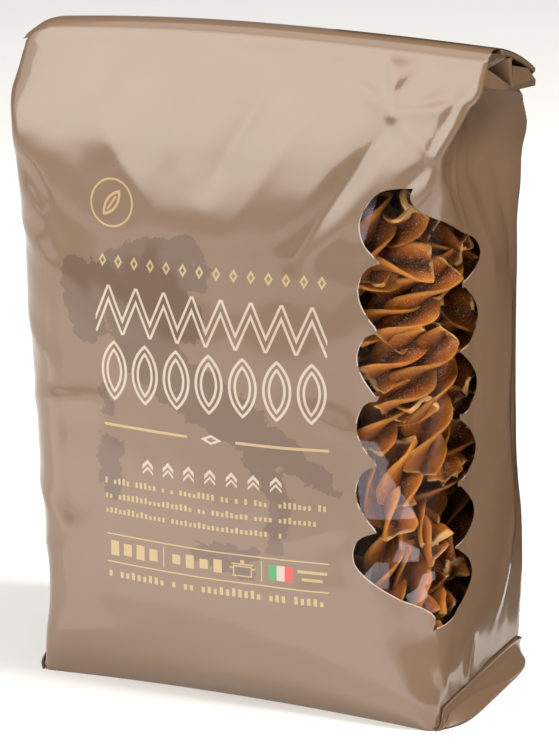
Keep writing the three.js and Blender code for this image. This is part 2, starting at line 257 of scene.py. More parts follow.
def onFilm(u, level):
    u = np.asarray(u, float)
    level = np.asarray(level, float)
    tube = onTube(u, level)
    fold = onFold(u, level)
    front = 1 - smooth(np.abs(u), *underFold["sides"])
    folded = (level > wrap["top"]) & (np.abs(u) < wrap["split"])
    share = np.maximum(smooth(level, wrap["foldFrom"], wrap["foldTo"]) * front, folded)
    sink = (ridgeAt(tube[:, 0]) - wrap["ridge"]) * smooth(level, *underFold["sink"])
    beyond = np.maximum(level - wrap["top"], 0)
    tube[:, 2] += sink + underFold["rise"] * beyond * smooth(np.abs(u), *underFold["riseAlong"])
    drawn = underFold["drawIn"] * beyond
    tube[:, 0] -= drawn * np.sign(tube[:, 0]) * smooth(np.abs(tube[:, 0]), *underFold["drawAcross"])
    tube[:, 1] -= drawn * smooth(tube[:, 1], *underFold["drawBack"])
    place = tube * (1 - share[:, None]) + fold * share[:, None]
    swell = smooth(level, *underFold["swellFrom"]) * (1 - smooth(level, *underFold["swellTo"]))
    place[:, 0] -= underFold["swell"] * smooth(-u, *underFold["swellAlong"]) * swell
    return place


def outwardAt(u, level):
    step = 0.6
    across = onFilm(u + step, level) - onFilm(u - step, level)
    up = onFilm(u, level + step) - onFilm(u, level - step)
    normal = np.cross(across, up)
    return normal / np.maximum(np.linalg.norm(normal, axis=1), 1e-9)[:, None]


# Creases of the film: from and to as (along the film, level), width on each side, height
creases = [
    # knot of creases near the top right
    ((44.2, 178.6), (40.8, 195.5), 3, 8, 0.8),
    ((44.2, 178.6), (62.5, 183.0), 3, 6, 0.75),
    ((44.2, 178.6), (58.9, 168.8), 4, 4, 0.6),
    ((44.2, 178.6), (31.0, 186.5), 3, 7, 0.6),
    ((44.5, 176.5), (19.6, 137.0), 6, 8, -1.6),
    ((42.0, 181.5), (50.5, 194.0), 3, 4, -0.35),
    ((27.8, 193.5), (20.1, 184.5), 5, 5, 0.4),
    ((57.5, 190.0), (47.5, 180.0), 3, 4, 0.4),
    # long soft hollow down from the ridge, and the swell beside it
    ((6.2, 182.0), (-7.5, 154.0), 6, 8, -1.0),
    ((-6.0, 190.0), (-24.0, 158.0), 14, 14, 0.9),
    ((24.0, 184.0), (2.0, 146.0), 13, 12, 0.8),
    ((-44.0, 172.0), (-24.0, 148.0), 12, 12, 0.9),
    ((-60.0, 163.0), (-34.0, 190.0), 14, 14, -0.6),
    # edge of the front panel down to the pinch, and the folds that start there
    ((69.5, 191.0), (59.0, 168.5), 2.2, 2.6, 0.9),
    ((64.0, 188.0), (56.0, 168.0), 2.0, 3.0, -0.45),
    ((58.9, 168.5), (50.0, 159.0), 5, 5, -0.8),
    ((58.9, 168.5), (67.5, 150.0), 2.5, 4, 0.8),
    ((70.5, 163.0), (72.8, 157.0), 2.5, 2.5, -0.8),
    ((72.8, 157.0), (76.2, 145.2), 2.5, 3.5, 0.45),
    ((76.2, 145.2), (84.0, 134.0), 5, 6, 0.35),
    ((72.8, 157.0), (66.0, 168.0), 2.5, 3, 0.7),
    ((72.8, 157.0), (80.0, 168.0), 2.5, 3, 0.7),
    # right side panel
    ((82.0, 186.0), (95.0, 179.0), 7, 7, 0.8),
    ((96.0, 177.0), (84.0, 160.0), 8, 8, 0.7),
    ((84.0, 160.0), (92.0, 120.0), 11, 11, 0.6),
    ((104.0, 168.0), (110.0, 120.0), 9, 9, -0.6),
    ((110.0, 120.0), (101.0, 84.0), 8, 9, 0.7),
    ((101.0, 84.0), (109.0, 46.0), 8, 9, 0.6),
    ((114.0, 100.0), (106.0, 66.0), 7, 7, -0.5),
    ((109.0, 46.0), (103.0, 22.0), 5, 6, 0.8),
    # foot at the right
    ((66.0, 5.0), (141.0, 5.0), 0.9, 1.4, -0.8),
    ((67.0, 3.2), (141.0, 3.2), 1.3, 1.0, 0.35),
    ((84.5, 18.5), (86.0, 4.0), 4, 5, 0.7),
    ((71.0, 26.0), (84.5, 18.5), 6, 6, 0.8),
    ((61.0, 21.0), (70.0, 8.0), 7, 6, 0.7),
    ((58.0, 12.0), (66.0, 2.0), 5, 5, 0.6),
    # left edge and lower front
    ((-69.0, 158.0), (-60.0, 146.0), 5, 6, -1.5),
    ((-72.0, 140.0), (-58.0, 128.0), 6, 6, 0.9),
    ((-72.0, 112.0), (-56.0, 96.0), 7, 7, 0.9),
    ((-72.0, 84.0), (-38.0, 90.0), 6, 9, 0.8),
    ((-72.0, 62.0), (-50.0, 46.0), 7, 7, 0.9),
    ((-70.0, 36.0), (-44.0, 52.0), 7, 7, 0.7),
    ((-66.0, 12.0), (-30.0, 18.0), 9, 9, 0.8),
    ((-12.0, 6.0), (8.0, 12.0), 8, 8, 0.6),
    ((38.0, 86.0), (26.0, 92.0), 5, 7, 0.7),
    ((34.0, 60.0), (14.0, 52.0), 6, 8, 0.6),
    ((33.0, 40.0), (12.0, 36.0), 6, 8, 0.6),
]


def creaseHeight(u, level):
    total = np.zeros(len(u))
    for (u0, v0), (u1, v1), leftWidth, rightWidth, height in creases:
        du, dv = u1 - u0, v1 - v0
        length = math.hypot(du, dv)
        along = ((u - u0) * du + (level - v0) * dv) / length
        side = ((u - u0) * dv - (level - v0) * du) / length
        share = np.where(side < 0, -side / leftWidth, side / rightWidth)
        over = np.maximum(np.maximum(-along, along - length), 0) / min(leftWidth, rightWidth)
        profile = np.maximum(1 - np.sqrt(share ** 2 + over ** 2), 0) ** 1.7
        ends = 0.45 + 0.55 * np.sin(np.pi * np.clip(along / length, 0, 1))
        total += height * profile * ends
    return total


swells = {
    "seed": 7.3,
    "flatten": 0.62,             # the swells are longer upwards than across
    "broad": (0.6, 1 / 38),      # height in mm, waves per mm
    "middle": (0.22, 1 / 17),
    "fine": (0.05, 1 / 6.5),
    "lean": 0.55,                # the swells lean to the right as they rise
    "crumple": (0.52, 1 / 23),   # flat facets with crisp folds between them
    "crumpleFlatten": 0.7,
    "crumpleBend": (0.25, 1.7),  # how much the facets' edges bend, and how often
    "crumpleSeed": (3.1, 8.2, 5.7),
    "vectorSeed": 4,
}
noise.seed_set(swells["vectorSeed"])    # otherwise noise_vector starts from the clock


def swellHeight(place, u, level):
    total = np.zeros(len(place))
    for k, name in enumerate(("broad", "middle", "fine")):
        height, rate = swells[name]
        for i, p in enumerate(place):
            leaning = Vector((p[0] - swells["lean"] * p[2], p[1], p[2] * swells["flatten"])) * rate
            total[i] += height * noise.noise(leaning + Vector((swells["seed"] * (k + 1), k, 0)))
    height, rate = swells["crumple"]
    bend, often = swells["crumpleBend"]
    shift = Vector(swells["crumpleSeed"])
    for i, p in enumerate(place):
        bent = Vector((p[0], p[1], p[2] * swells["crumpleFlatten"])) * rate
        bent += bend * noise.noise_vector(bent * often)
        nearest = noise.voronoi(bent + shift)[0][0]
        total[i] += height * (0.5 - nearest)
    return total


def reliefAt(place, u, level):
    # height of creases and swells; there are none at the foot's edge and in the fold
    still = smooth(level, 0, 5) * (1 - smooth(level, 192, 196))
    return (creaseHeight(u, level) + swellHeight(place, u, level)) * still


# Outline of the window, as (along the film, level)
pane = {
    "middle": 57.3,
    "height": 94.1,
    "halfWidth": 13,
    "pitch": 19.775,
    "scallops": 4,
    "depthLeft": 6.3,
    "depthRight": 10.5,
    "peak": 0.42,           # where a scallop is widest, as a share of its height
    "steps": 22,
    "lobe": [(-13, 43.7), (-17.8, 48.9), (-19.3, 54.9), (-17.1, 60.5), (-12.7, 64.5), (-4.4, 65.9)],
    "hook": [
        (-4.4, 65.9), (-4.9, 62.4), (-0.8, 58.9), (7.5, 54.9),
        (17.5, 48.3), (20.1, 42.9), (18, 37.7), (13, 35.4),
    ],
    "lobeSteps": 40,
    "hookSteps": 70,
    "rim": (0.27, 0.22),    # how far the window's outline is shifted, along and up, leaving a strip of painted highlight on its lower and left edges
    "rimFace": 0.55,        # a larger face than this is film, in square millimetres
}


def spline(points, count):
    p = np.array([points[0]] + list(points) + [points[-1]], float)
    out = []
    for k in range(count):
        place = k / count * (len(points) - 1)
        i = int(place)
        t = place - i
        a, b, c, d = p[i], p[i + 1], p[i + 2], p[i + 3]
        first = (c - a) / 2
        second = (d - b) / 2
        out.append((2 * b - 2 * c + first + second) * t ** 3
                   + (-3 * b + 3 * c - 2 * first - second) * t ** 2 + first * t + b)
    return out


def windowOutline():
    half = spline(pane["lobe"], pane["lobeSteps"]) + spline(pane["hook"], pane["hookSteps"])
    top = pane["hook"][-1][1]
    peak = pane["peak"]
    for i in range(pane["scallops"] * pane["steps"]):
        p = 1 - (i % pane["steps"]) / pane["steps"]
        if p < peak:
            swell = math.sqrt(1 - ((peak - p) / peak) ** 2)
        else:
            swell = math.cos(math.pi / 2 * (p - peak) / (1 - peak))
        out = pane["halfWidth"] + pane["depthLeft"] * swell
        half.append(np.array((out, top - pane["pitch"] * i / pane["steps"])))
    whole = np.array(half + [-p for p in half])
    wide = whole[:, 0] > pane["halfWidth"]
    stretch = pane["depthRight"] / pane["depthLeft"]
    whole[wide, 0] = pane["halfWidth"] + (whole[wide, 0] - pane["halfWidth"]) * stretch
    return whole + np.array((pane["middle"], pane["height"]))


outline = windowOutline()


def distanceTo(polygon, points):
    nearest = np.full(len(points), 1e9)
    inside = np.zeros(len(points), bool)
    for a, b in zip(polygon, np.roll(polygon, -1, axis=0)):
        edge = b - a
        t = np.clip(((points - a) @ edge) / max(edge @ edge, 1e-12), 0, 1)
        nearest = np.minimum(nearest, np.hypot(*(points - a - t[:, None] * edge).T))
        crosses = (a[1] > points[:, 1]) != (b[1] > points[:, 1])
        if abs(b[1] - a[1]) > 1e-12:
            level = a[0] + (points[:, 1] - a[1]) * edge[0] / edge[1]
            inside ^= crosses & (points[:, 0] < level)
    return np.where(inside, -nearest, nearest)


def pinTips(bm, polygon, sharp=50):
    # puts a vertex on each sharp tip of the outline, so that the cut keeps it
    before = polygon - np.roll(polygon, 1, axis=0)
    after = np.roll(polygon, -1, axis=0) - polygon
    cross = before[:, 0] * after[:, 1] - before[:, 1] * after[:, 0]
    turn = np.abs(np.arctan2(cross, (before * after).sum(1)))
    for tip in polygon[turn > math.radians(sharp)]:
        near = min(bm.verts, key=lambda v: (v.co.x - tip[0]) ** 2 + (v.co.y - tip[1]) ** 2)
        near.co.xy = tip


def cutAlong(bm, polygon, reach=3, snap=0.12):
    low = polygon.min(0) - reach
    high = polygon.max(0) + reach
    bm.verts.ensure_lookup_table()
    near = [v for v in bm.verts if low[0] < v.co.x < high[0] and low[1] < v.co.y < high[1]]
    away = dict(zip(near, distanceTo(polygon, np.array([v.co.xy for v in near]))))
    edges = {e for v in near for e in v.link_edges if e.verts[0] in away and e.verts[1] in away}
    for v in near:
        if abs(away[v]) < snap:
            away[v] = 0.0
    crossed = [e for e in edges if away[e.verts[0]] * away[e.verts[1]] < 0]
    crossed.sort(key=lambda e: [round(c, 4) for c in (*e.verts[0].co.xy, e.verts[1].co.x)])
    onLine = {v for v in near if away[v] == 0.0}
    for e in crossed:
        a, b = e.verts
        share = away[a] / (away[a] - away[b])
        _, fresh = bmesh.utils.edge_split(e, a, share)
        onLine.add(fresh)
    bmesh.ops.connect_verts(bm, verts=[v for v in bm.verts if v in onLine])
    return onLine


def insideOf(bm, polygon):
    middles = [(f, f.calc_center_median().xy) for f in bm.faces]
    low = polygon.min(0)
    high = polygon.max(0)
    near = [(f, m) for f, m in middles if low[0] < m.x < high[0] and low[1] < m.y < high[1]]
    away = distanceTo(polygon, np.array([m for _, m in near]))
    return [f for (f, _), d in zip(near, away) if d < 0]


# The pattern of the film, laid out flat before it is wrapped
pattern = {
    "columns": [(-203, 2.6), (-142, 1.5), (-75, 1.3), (30, 1.15), (95, 1.3), (142, 2.6), (203, 0)],
    "rows": [(0, 1.15), (3.45, 0.35), (6.6, 0.7), (8, 1.7), (140, 1.15), (196, 1.0), (203, 2.2), (251, 0)],
    "uvSpan": 500,
    "gap": 1.5,             # half the gap where the front panel is parted from the sides
}


def spaced(bands):
    places = [float(bands[0][0])]
    for (start, step), (end, _) in zip(bands, bands[1:]):
        count = max(1, round((end - start) / step))
        places += [start + (end - start) * (k + 1) / count for k in range(count)]
    return places


def flatPattern():
    columns = spaced(pattern["columns"])
    rows = spaced(pattern["rows"])
    bm = bmesh.new()
    bmesh.ops.create_grid(bm, x_segments=len(columns) - 1, y_segments=len(rows) - 1, size=1)
    for v in bm.verts:
        i = round((v.co.x + 1) / 2 * (len(columns) - 1))
        j = round((v.co.y + 1) / 2 * (len(rows) - 1))
        v.co = (columns[i], rows[j], 0)
    aside = []
    for f in bm.faces:
        middle = f.calc_center_median()
        beside = abs(middle.x) - wrap["split"]
        parted = middle.y > wrap["top"] and abs(beside) < pattern["gap"]
        if parted or (middle.y > wrap["tuck"] and beside > 0):
            aside.append(f)
    bmesh.ops.delete(bm, geom=aside, context="FACES")
    return bm


def layUv(bm):
    uv = bm.loops.layers.uv.new("film")
    for f in bm.faces:
        for loop in f.loops:
            loop[uv].uv = (loop.vert.co.x / pattern["uvSpan"] + 0.5, loop.vert.co.y / pattern["uvSpan"])


def putAt(verts, place):
    for v, p in zip(verts, place):
        v.co = Vector(p) * mm


def wrapUp(bm):
    verts = list(bm.verts)
    flat = np.array([v.co[:] for v in verts])
    u, level = flat[:, 0], flat[:, 1]
    place = onFilm(u, level)
    normal = outwardAt(u, level)
    place = place + normal * reliefAt(place, u, level)[:, None]
    place[:, 2] = np.maximum(place[:, 2], 0.0)
    putAt(verts, place)


def finished(bm, name, material, replaced=None, smoothFaces=True):
    mesh = bpy.data.meshes.new(name)
    for f in bm.faces:
        f.smooth = smoothFaces
    for e in bm.edges:
        e.smooth = e.smooth and not e.is_boundary
    bm.to_mesh(mesh)
    bm.free()
    piece = bpy.data.objects.new(name, mesh)
    scene.collection.objects.link(piece)
    mesh.materials.append(material)
    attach(piece, "root")
    if replaced:
        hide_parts(*replaced)
    return piece


def gridSheet(columns, rows):
    # a flat grid, and where its vertices lie: across from -1 to 1, up from 0 to 1
    bm = bmesh.new()
    bmesh.ops.create_grid(bm, x_segments=columns, y_segments=rows, size=1)
    verts = list(bm.verts)
    across = np.array([v.co.x for v in verts])
    up = (np.array([v.co.y for v in verts]) + 1) / 2
    return bm, verts, across, up


def faceTowards(bm, axis, sign=1):
    bmesh.ops.recalc_face_normals(bm, faces=bm.faces)
    if sum(f.normal[axis] for f in bm.faces) * sign < 0:
        bmesh.ops.reverse_faces(bm, faces=bm.faces)


def plainFilm(bm, name, smoothFaces=True):
    # a piece of film whose uv lies where the film has no print
    uv = bm.loops.layers.uv.new("film")
    for f in bm.faces:
        for loop in f.loops:
            loop[uv].uv = (0.02, 0.02)
    return finished(bm, name, filmFinish, None, smoothFaces)


def addWall(piece, thickness, offset=-1):
    wall = piece.modifiers.new("wall", "SOLIDIFY")
    wall.thickness = thickness * mm
    wall.offset = offset


def turnAbout(bm, angle, axis):
    bmesh.ops.rotate(bm, verts=bm.verts, cent=(0, 0, 0), matrix=Matrix.Rotation(angle, 3, axis))


# Small language for shader nodes
class Sheet:
    def __init__(self, name):
        self.material = bpy.data.materials.new(name)
        self.material.use_nodes = True
        self.nodes = self.material.node_tree.nodes
        self.links = self.material.node_tree.links
        self.shader = self.nodes["Principled BSDF"]

    def attribute(self, name):
        node = self.nodes.new("ShaderNodeAttribute")
        node.attribute_name = name
        return node.outputs["Fac"]

    def plug(self, value, socket):
        if isinstance(value, bpy.types.NodeSocket):
            self.links.new(value, socket)
        else:
            socket.default_value = value

    def math(self, operation, *values, clamp=False):
        node = self.nodes.new("ShaderNodeMath")
        node.operation = operation
        node.use_clamp = clamp
        for value, socket in zip(values, node.inputs):
            self.plug(value, socket)
        return node.outputs[0]

    def sum(self, a, b):
        return self.math("ADD", a, b)

    def less(self, a, b):
        return self.math("SUBTRACT", a, b)

    def times(self, a, b):
        return self.math("MULTIPLY", a, b)

    def size(self, a):
        return self.math("ABSOLUTE", a)

    def most(self, *values):
        result = values[0]
        for value in values[1:]:
            result = self.math("MAXIMUM", result, value)
        return result

    def least(self, *values):
        result = values[0]
        for value in values[1:]:
            result = self.math("MINIMUM", result, value)
        return result

    def far(self, a, b):
        return self.math("SQRT", self.sum(self.times(a, a), self.times(b, b)))

    def below(self, a, limit):
        return self.math("LESS_THAN", a, limit)

    def band(self, a, low, high):
        return self.times(self.math("GREATER_THAN", a, low), self.below(a, high))

    def cell(self, u, row):
        # how far from the middle of the nearest of a row's figures
        along = self.math("FLOORED_MODULO", self.sum(u, row["start"]), row["pitch"])
        return self.less(along, row["pitch"] / 2)

    def line(self, a, half):
        return self.below(self.size(a), half)

    def box(self, u, level, centre, half):
        du = self.less(self.size(self.less(u, centre[0])), half[0])
        dv = self.less(self.size(self.less(level, centre[1])), half[1])
        return self.below(self.most(du, dv), 0)

    def patch(self, u, level, corners):
        # inside of a shape without hollows, corners given anticlockwise
        inside = None
        for (u0, v0), (u1, v1) in zip(corners, corners[1:] + corners[:1]):
            x = self.times(self.less(u, u0), v1 - v0)
            y = self.times(self.less(level, v0), u1 - u0)
            side = self.below(self.less(x, y), 0)
            inside = side if inside is None else self.times(inside, side)
        return inside

    def mix(self, share, a, b):
        node = self.nodes.new("ShaderNodeMix")
        node.data_type = "RGBA"
        self.plug(share, node.inputs["Factor"])
        self.plug(a, node.inputs["A"])
        self.plug(b, node.inputs["B"])
        return node.outputs["Result"]

    def ramp(self, value, stops):
        node = self.nodes.new("ShaderNodeValToRGB")
        while len(node.color_ramp.elements) < len(stops):
            node.color_ramp.elements.new(0.5)
        for element, (place, colour) in zip(node.color_ramp.elements, stops):
            element.position = place
            element.color = colour
        self.plug(value, node.inputs["Fac"])
        return node.outputs["Color"]

    def film(self):
        # place on the film in millimetres: along it, level, and both together
        node = self.nodes.new("ShaderNodeUVMap")
        node.uv_map = "film"
        span = pattern["uvSpan"]
        place = self.mapped(node.outputs["UV"], location=(-span / 2, 0, 0), scale=(span, span, 1))
        split = self.nodes.new("ShaderNodeSeparateXYZ")
        self.links.new(place, split.inputs[0])
        return split.outputs[0], split.outputs[1], place

    def object(self):
        return self.nodes.new("ShaderNodeTexCoord").outputs["Object"]

    def mapped(self, vector, location=(0, 0, 0), rotation=(0, 0, 0), scale=(1, 1, 1)):
        node = self.nodes.new("ShaderNodeMapping")
        self.plug(vector, node.inputs["Vector"])
        node.inputs["Location"].default_value = location
        node.inputs["Rotation"].default_value = rotation
        node.inputs["Scale"].default_value = scale
        return node.outputs["Vector"]

    def noise(self, vector, scale, detail=2.0, roughness=0.5, distortion=0.0):
        node = self.nodes.new("ShaderNodeTexNoise")
        self.plug(vector, node.inputs["Vector"])
        node.inputs["Scale"].default_value = scale
        node.inputs["Detail"].default_value = detail
        node.inputs["Roughness"].default_value = roughness
        node.inputs["Distortion"].default_value = distortion
        return node.outputs["Fac"]

    def random(self, *parts):
        node = self.nodes.new("ShaderNodeTexWhiteNoise")
        node.noise_dimensions = "3D"
        join = self.nodes.new("ShaderNodeCombineXYZ")
        for part, socket in zip(parts, join.inputs):
            self.plug(part, socket)
        self.links.new(join.outputs[0], node.inputs["Vector"])
        return node.outputs["Value"]

    def bump(self, height, strength, distance):
        node = self.nodes.new("ShaderNodeBump")
        node.inputs["Strength"].default_value = strength
        node.inputs["Distance"].default_value = distance
        self.links.new(height, node.inputs["Height"])
        return node.outputs["Normal"]

    def set(self, **values):
        for name, value in values.items():
            self.plug(value, self.shader.inputs[name.replace("_", " ")])


def srgb(red, green, blue):
    def linear(value):
        value /= 255
        return value / 12.92 if value <= 0.04045 else ((value + 0.055) / 1.055) ** 2.4
    return (linear(red), linear(green), linear(blue), 1.0)


inks = {
    "film": srgb(114, 89, 67),
    "filmDark": srgb(109, 84, 63),
    "map": srgb(86, 62, 43),
    "gold": srgb(168, 143, 98),
    "white": srgb(178, 164, 150),
    "green": srgb(38, 132, 72),
    "red": srgb(196, 42, 40),
}

# Shape of the darker figure behind the print: (from, to, radius at from, radius at to)
landParts = [
    ((-48, 126), (-44, 113), 5.5, 6.5),
    ((-46, 120), (-24, 131), 7.5, 8.5),
    ((-24, 131), (-13, 136.5), 9, 5),
    ((-28, 124), (-10, 130), 7, 5),
    ((-30, 114), (-12, 117), 8, 6),
    ((-26, 106), (-8, 94), 9, 8),
    ((-8, 95), (9, 85), 8.5, 6.5),
    ((8, 86), (20, 79), 6, 4.5),
    ((18, 79.5), (29.5, 73), 4, 3),
    ((27, 75), (32.5, 69.5), 2.8, 1.6),
    ((10, 80), (14, 70), 5, 3.8),
    ((14, 71), (17.5, 64), 3.6, 3),
    ((16.5, 64), (14, 51), 3.4, 2.2),
    ((-9, 47.5), (9, 49), 2.6, 1.8),
    ((-4, 46), (6, 43), 3, 2.4),
    ((-37.5, 75), (-37, 63), 4, 3.6),
    ((-38, 92), (-37.6, 86), 1.8, 1.5),
]


def landMask(sheet, u, level, ragged):
    nearest = None
    for (u0, v0), (u1, v1), first, last in landParts:
        du, dv = u1 - u0, v1 - v0
        reach = du * du + dv * dv
        x = sheet.less(u, u0)
        y = sheet.less(level, v0)
        t = sheet.math("DIVIDE", sheet.sum(sheet.times(x, du), sheet.times(y, dv)), reach, clamp=True)
        away = sheet.far(sheet.less(x, sheet.times(t, du)), sheet.less(y, sheet.times(t, dv)))
        away = sheet.less(away, sheet.sum(sheet.times(t, last - first), first))
        nearest = away if nearest is None else sheet.least(nearest, away)
    return sheet.below(sheet.sum(nearest, ragged), 0)


# Ornament on the front, in millimetres: "at" is its middle as (along the film, level),
# "half" its half size, "start" and "pitch" place the figures of a row, and "line" is half a line's width
ornament = {
    "ring": {"at": (-36.4, 148.0), "radius": 6.7, "line": 0.28},
    "ringGrain": {"lean": (0.82, 0.57), "apart": 4.2, "radius": 6.2, "edge": 0.75, "vein": (0.3, 2.4)},
    "lozenges": {"at": (-5.5, 131.3), "half": (36.0, 3.0), "start": 41.5, "pitch": 5.14,
                 "size": (1.25, 2.0), "hole": 0.45},
    "zigzag": {"at": (-5.8, 117.0), "half": (35.6, 7.2), "start": 41.4, "pitch": 4.45, "slope": 2.35,
               "flatten": 0.39, "apart": 0.86, "line": 0.36},
    "grains": {"at": (-5.0, 98.8), "half": (35.5, 9.3), "start": 40.5, "pitch": 10.14, "apart": 7.4,
               "radius": 11.7, "edges": [(-0.8, 0), (-2.4, -1.65)]},
    "ruleGrain": {"at": (-4.5, 82.2), "size": (3.2, 1.5), "hole": 0.5},
    "chevrons": {"at": (-5.0, 71.8), "half": (23.3, 3.2), "start": 28.3, "pitch": 6.66, "tip": 72.6,
                 "slope": -1.1, "reach": 1.7, "lines": [(0, 0.62), (1.9, 0.4)]},
    "ticks": [
        # level, from, to, half height, pitch, share of gaps
        (64.8, -39.3, 29.8, 1.0, 1.45, 0.17),
        (60.2, -39.3, 29.0, 1.0, 1.45, 0.17),
        (55.6, -39.3, 17.0, 1.0, 1.45, 0.17),
        (36.0, -38.8, 30.2, 1.35, 1.9, 0.15),
    ],
    "bars": [
        # rules beside the small grain
        ((-25.5, 82.2), (13.5, 0.42)), ((16.7, 82.2), (13.8, 0.42)),
        # thin rules, and dividers between them
        ((-4.3, 48.0), (34.9, 0.2)), ((-4.3, 39.3), (34.9, 0.2)),
        ((-20.3, 43.7), (0.16, 3.2)), ((10.4, 43.7), (0.16, 3.2)),
        # lid, knob and handles of the pot
        ((4.6, 45.2), (3.3, 0.2)), ((4.6, 46.0), (0.6, 0.5)),
        ((1.2, 43.9), (0.55, 0.22)), ((8.0, 43.9), (0.55, 0.22)),
        # two short bars at the right
        ((25.6, 44.9), (4.4, 0.45)), ((25.6, 42.6), (3.1, 0.45)),
    ],
    "pot": {"at": (4.6, 43.0), "half": (2.9, 1.7), "wall": 0.4},
    "blocks": [
        # level, first middle, pitch, half width, half heights by turns
        (43.7, -36.6, 4.3, 1.35, (2.3, 1.85)),
        (43.7, -16.2, 4.4, 1.3, (1.5, 2.05)),
    ],
    "flag": {"first": (13.75, 43.7), "pitch": 2.4, "half": (1.2, 2.3), "inks": ("green", "white", "red")},
}


def ringMasks(sheet, u, level):
    # a ring with a leaning grain in it
    ring = ornament["ring"]
    grain = ornament["ringGrain"]
    du = sheet.less(u, ring["at"][0])
    dv = sheet.less(level, ring["at"][1])
    circle = sheet.line(sheet.less(sheet.far(du, dv), ring["radius"]), ring["line"])
    along, aside = grain["lean"]
    lean = sheet.sum(sheet.times(du, along), sheet.times(dv, -aside))
    rise = sheet.sum(sheet.times(du, aside), sheet.times(dv, along))
    away = sheet.far(sheet.sum(sheet.size(lean), grain["apart"]), rise)
    edge = sheet.band(sheet.less(away, grain["radius"]), -grain["edge"], 0)
    vein = sheet.times(sheet.line(lean, grain["vein"][0]), sheet.line(rise, grain["vein"][1]))
    return [circle, edge, vein]


def lozengeMask(sheet, across, rise, row):
    wide, high = row["size"]
    away = sheet.sum(sheet.times(sheet.size(across), 1 / wide), sheet.times(sheet.size(rise), 1 / high))
    return sheet.band(away, row["hole"], 1.0)


def zigzagMask(sheet, u, level, row):
    # two lines that run side by side
    wave = sheet.math("PINGPONG", sheet.sum(u, row["start"]), row["pitch"])
    wave = sheet.times(sheet.less(wave, row["pitch"] / 2), row["slope"])
    away = sheet.times(sheet.less(sheet.less(level, row["at"][1]), wave), row["flatten"])
    return sheet.line(sheet.less(sheet.size(away), row["apart"]), row["line"])


def grainMask(sheet, u, level, row):
    # a tall grain between two arcs, drawn with two lines
    across = sheet.size(sheet.cell(u, row))
    away = sheet.far(sheet.sum(across, row["apart"]), sheet.less(level, row["at"][1]))
    inside = sheet.less(away, row["radius"])
    return sheet.most(*[sheet.band(inside, low, high) for low, high in row["edges"]])


def chevronMask(sheet, u, level, row):
    across = sheet.cell(u, row)
    bend = sheet.less(sheet.less(level, row["tip"]), sheet.times(sheet.size(across), row["slope"]))
    lines = [sheet.line(sheet.sum(bend, lower), half) for lower, half in row["lines"]]
    return sheet.times(sheet.most(*lines), sheet.line(across, row["reach"]))


def tickMask(sheet, u, level, row):
    # ticks of uneven height, with gaps at random, where small print would stand
    middle, low, high, height, pitch, gaps = row
    inRow = sheet.box(u, level, ((low + high) / 2, middle), ((high - low) / 2, height))
    along = sheet.math("DIVIDE", sheet.sum(u, 60), pitch)
    index = sheet.math("FLOOR", along)
    tick = sheet.line(sheet.less(sheet.less(along, index), 0.5), 0.27)
    lower = sheet.times(sheet.random(index, middle, 3.0), height * 0.9)
    short = sheet.below(sheet.less(level, middle - height), sheet.less(height * 2, lower))
    there = sheet.math("GREATER_THAN", sheet.random(index, middle, 8.0), gaps)
    return sheet.times(sheet.times(inRow, tick), sheet.times(short, there))


def printMasks(sheet, u, level):
    def inPlace(row, mask):
        return sheet.times(sheet.box(u, level, row["at"], row["half"]), mask)

    lozenges = ornament["lozenges"]
    small = ornament["ruleGrain"]
    pot = ornament["pot"]
    inner = [half - pot["wall"] for half in pot["half"]]
    golds = ringMasks(sheet, u, level)
    rise = sheet.less(level, lozenges["at"][1])
    golds.append(inPlace(lozenges, lozengeMask(sheet, sheet.cell(u, lozenges), rise, lozenges)))
    golds += [tickMask(sheet, u, level, row) for row in ornament["ticks"]]
    golds += [sheet.box(u, level, middle, half) for middle, half in ornament["bars"]]
    golds.append(inPlace(pot, sheet.less(1.0, sheet.box(u, level, pot["at"], inner))))
    for middle, first, pitch, halfWidth, halfHeights in ornament["blocks"]:
        for k in range(4):
            golds.append(sheet.box(u, level, (first + pitch * k, middle), (halfWidth, halfHeights[k % 2])))
    across = sheet.less(u, small["at"][0])
    rise = sheet.less(level, small["at"][1])
    whites = [lozengeMask(sheet, across, rise, small)]
    for name, mask in (("zigzag", zigzagMask), ("grains", grainMask), ("chevrons", chevronMask)):
        whites.append(inPlace(ornament[name], mask(sheet, u, level, ornament[name])))
    return golds, whites


filmLook = {
    "coast": 0.23,             # scale of the darker figure's ragged outline
    "ragged": 9.0,             # how ragged it is, in millimetres
    "figure": 0.85,            # share of the darker ink in it
    "clouds": 0.012,
    "shine": 0.5,
    "coat": 0.85,
    "coatRoughness": 0.09,
    "roughness": (0.36, 0.46),
    "wear": 60.0,
    "grain": (900.0, 0.08, 0.0003),
}


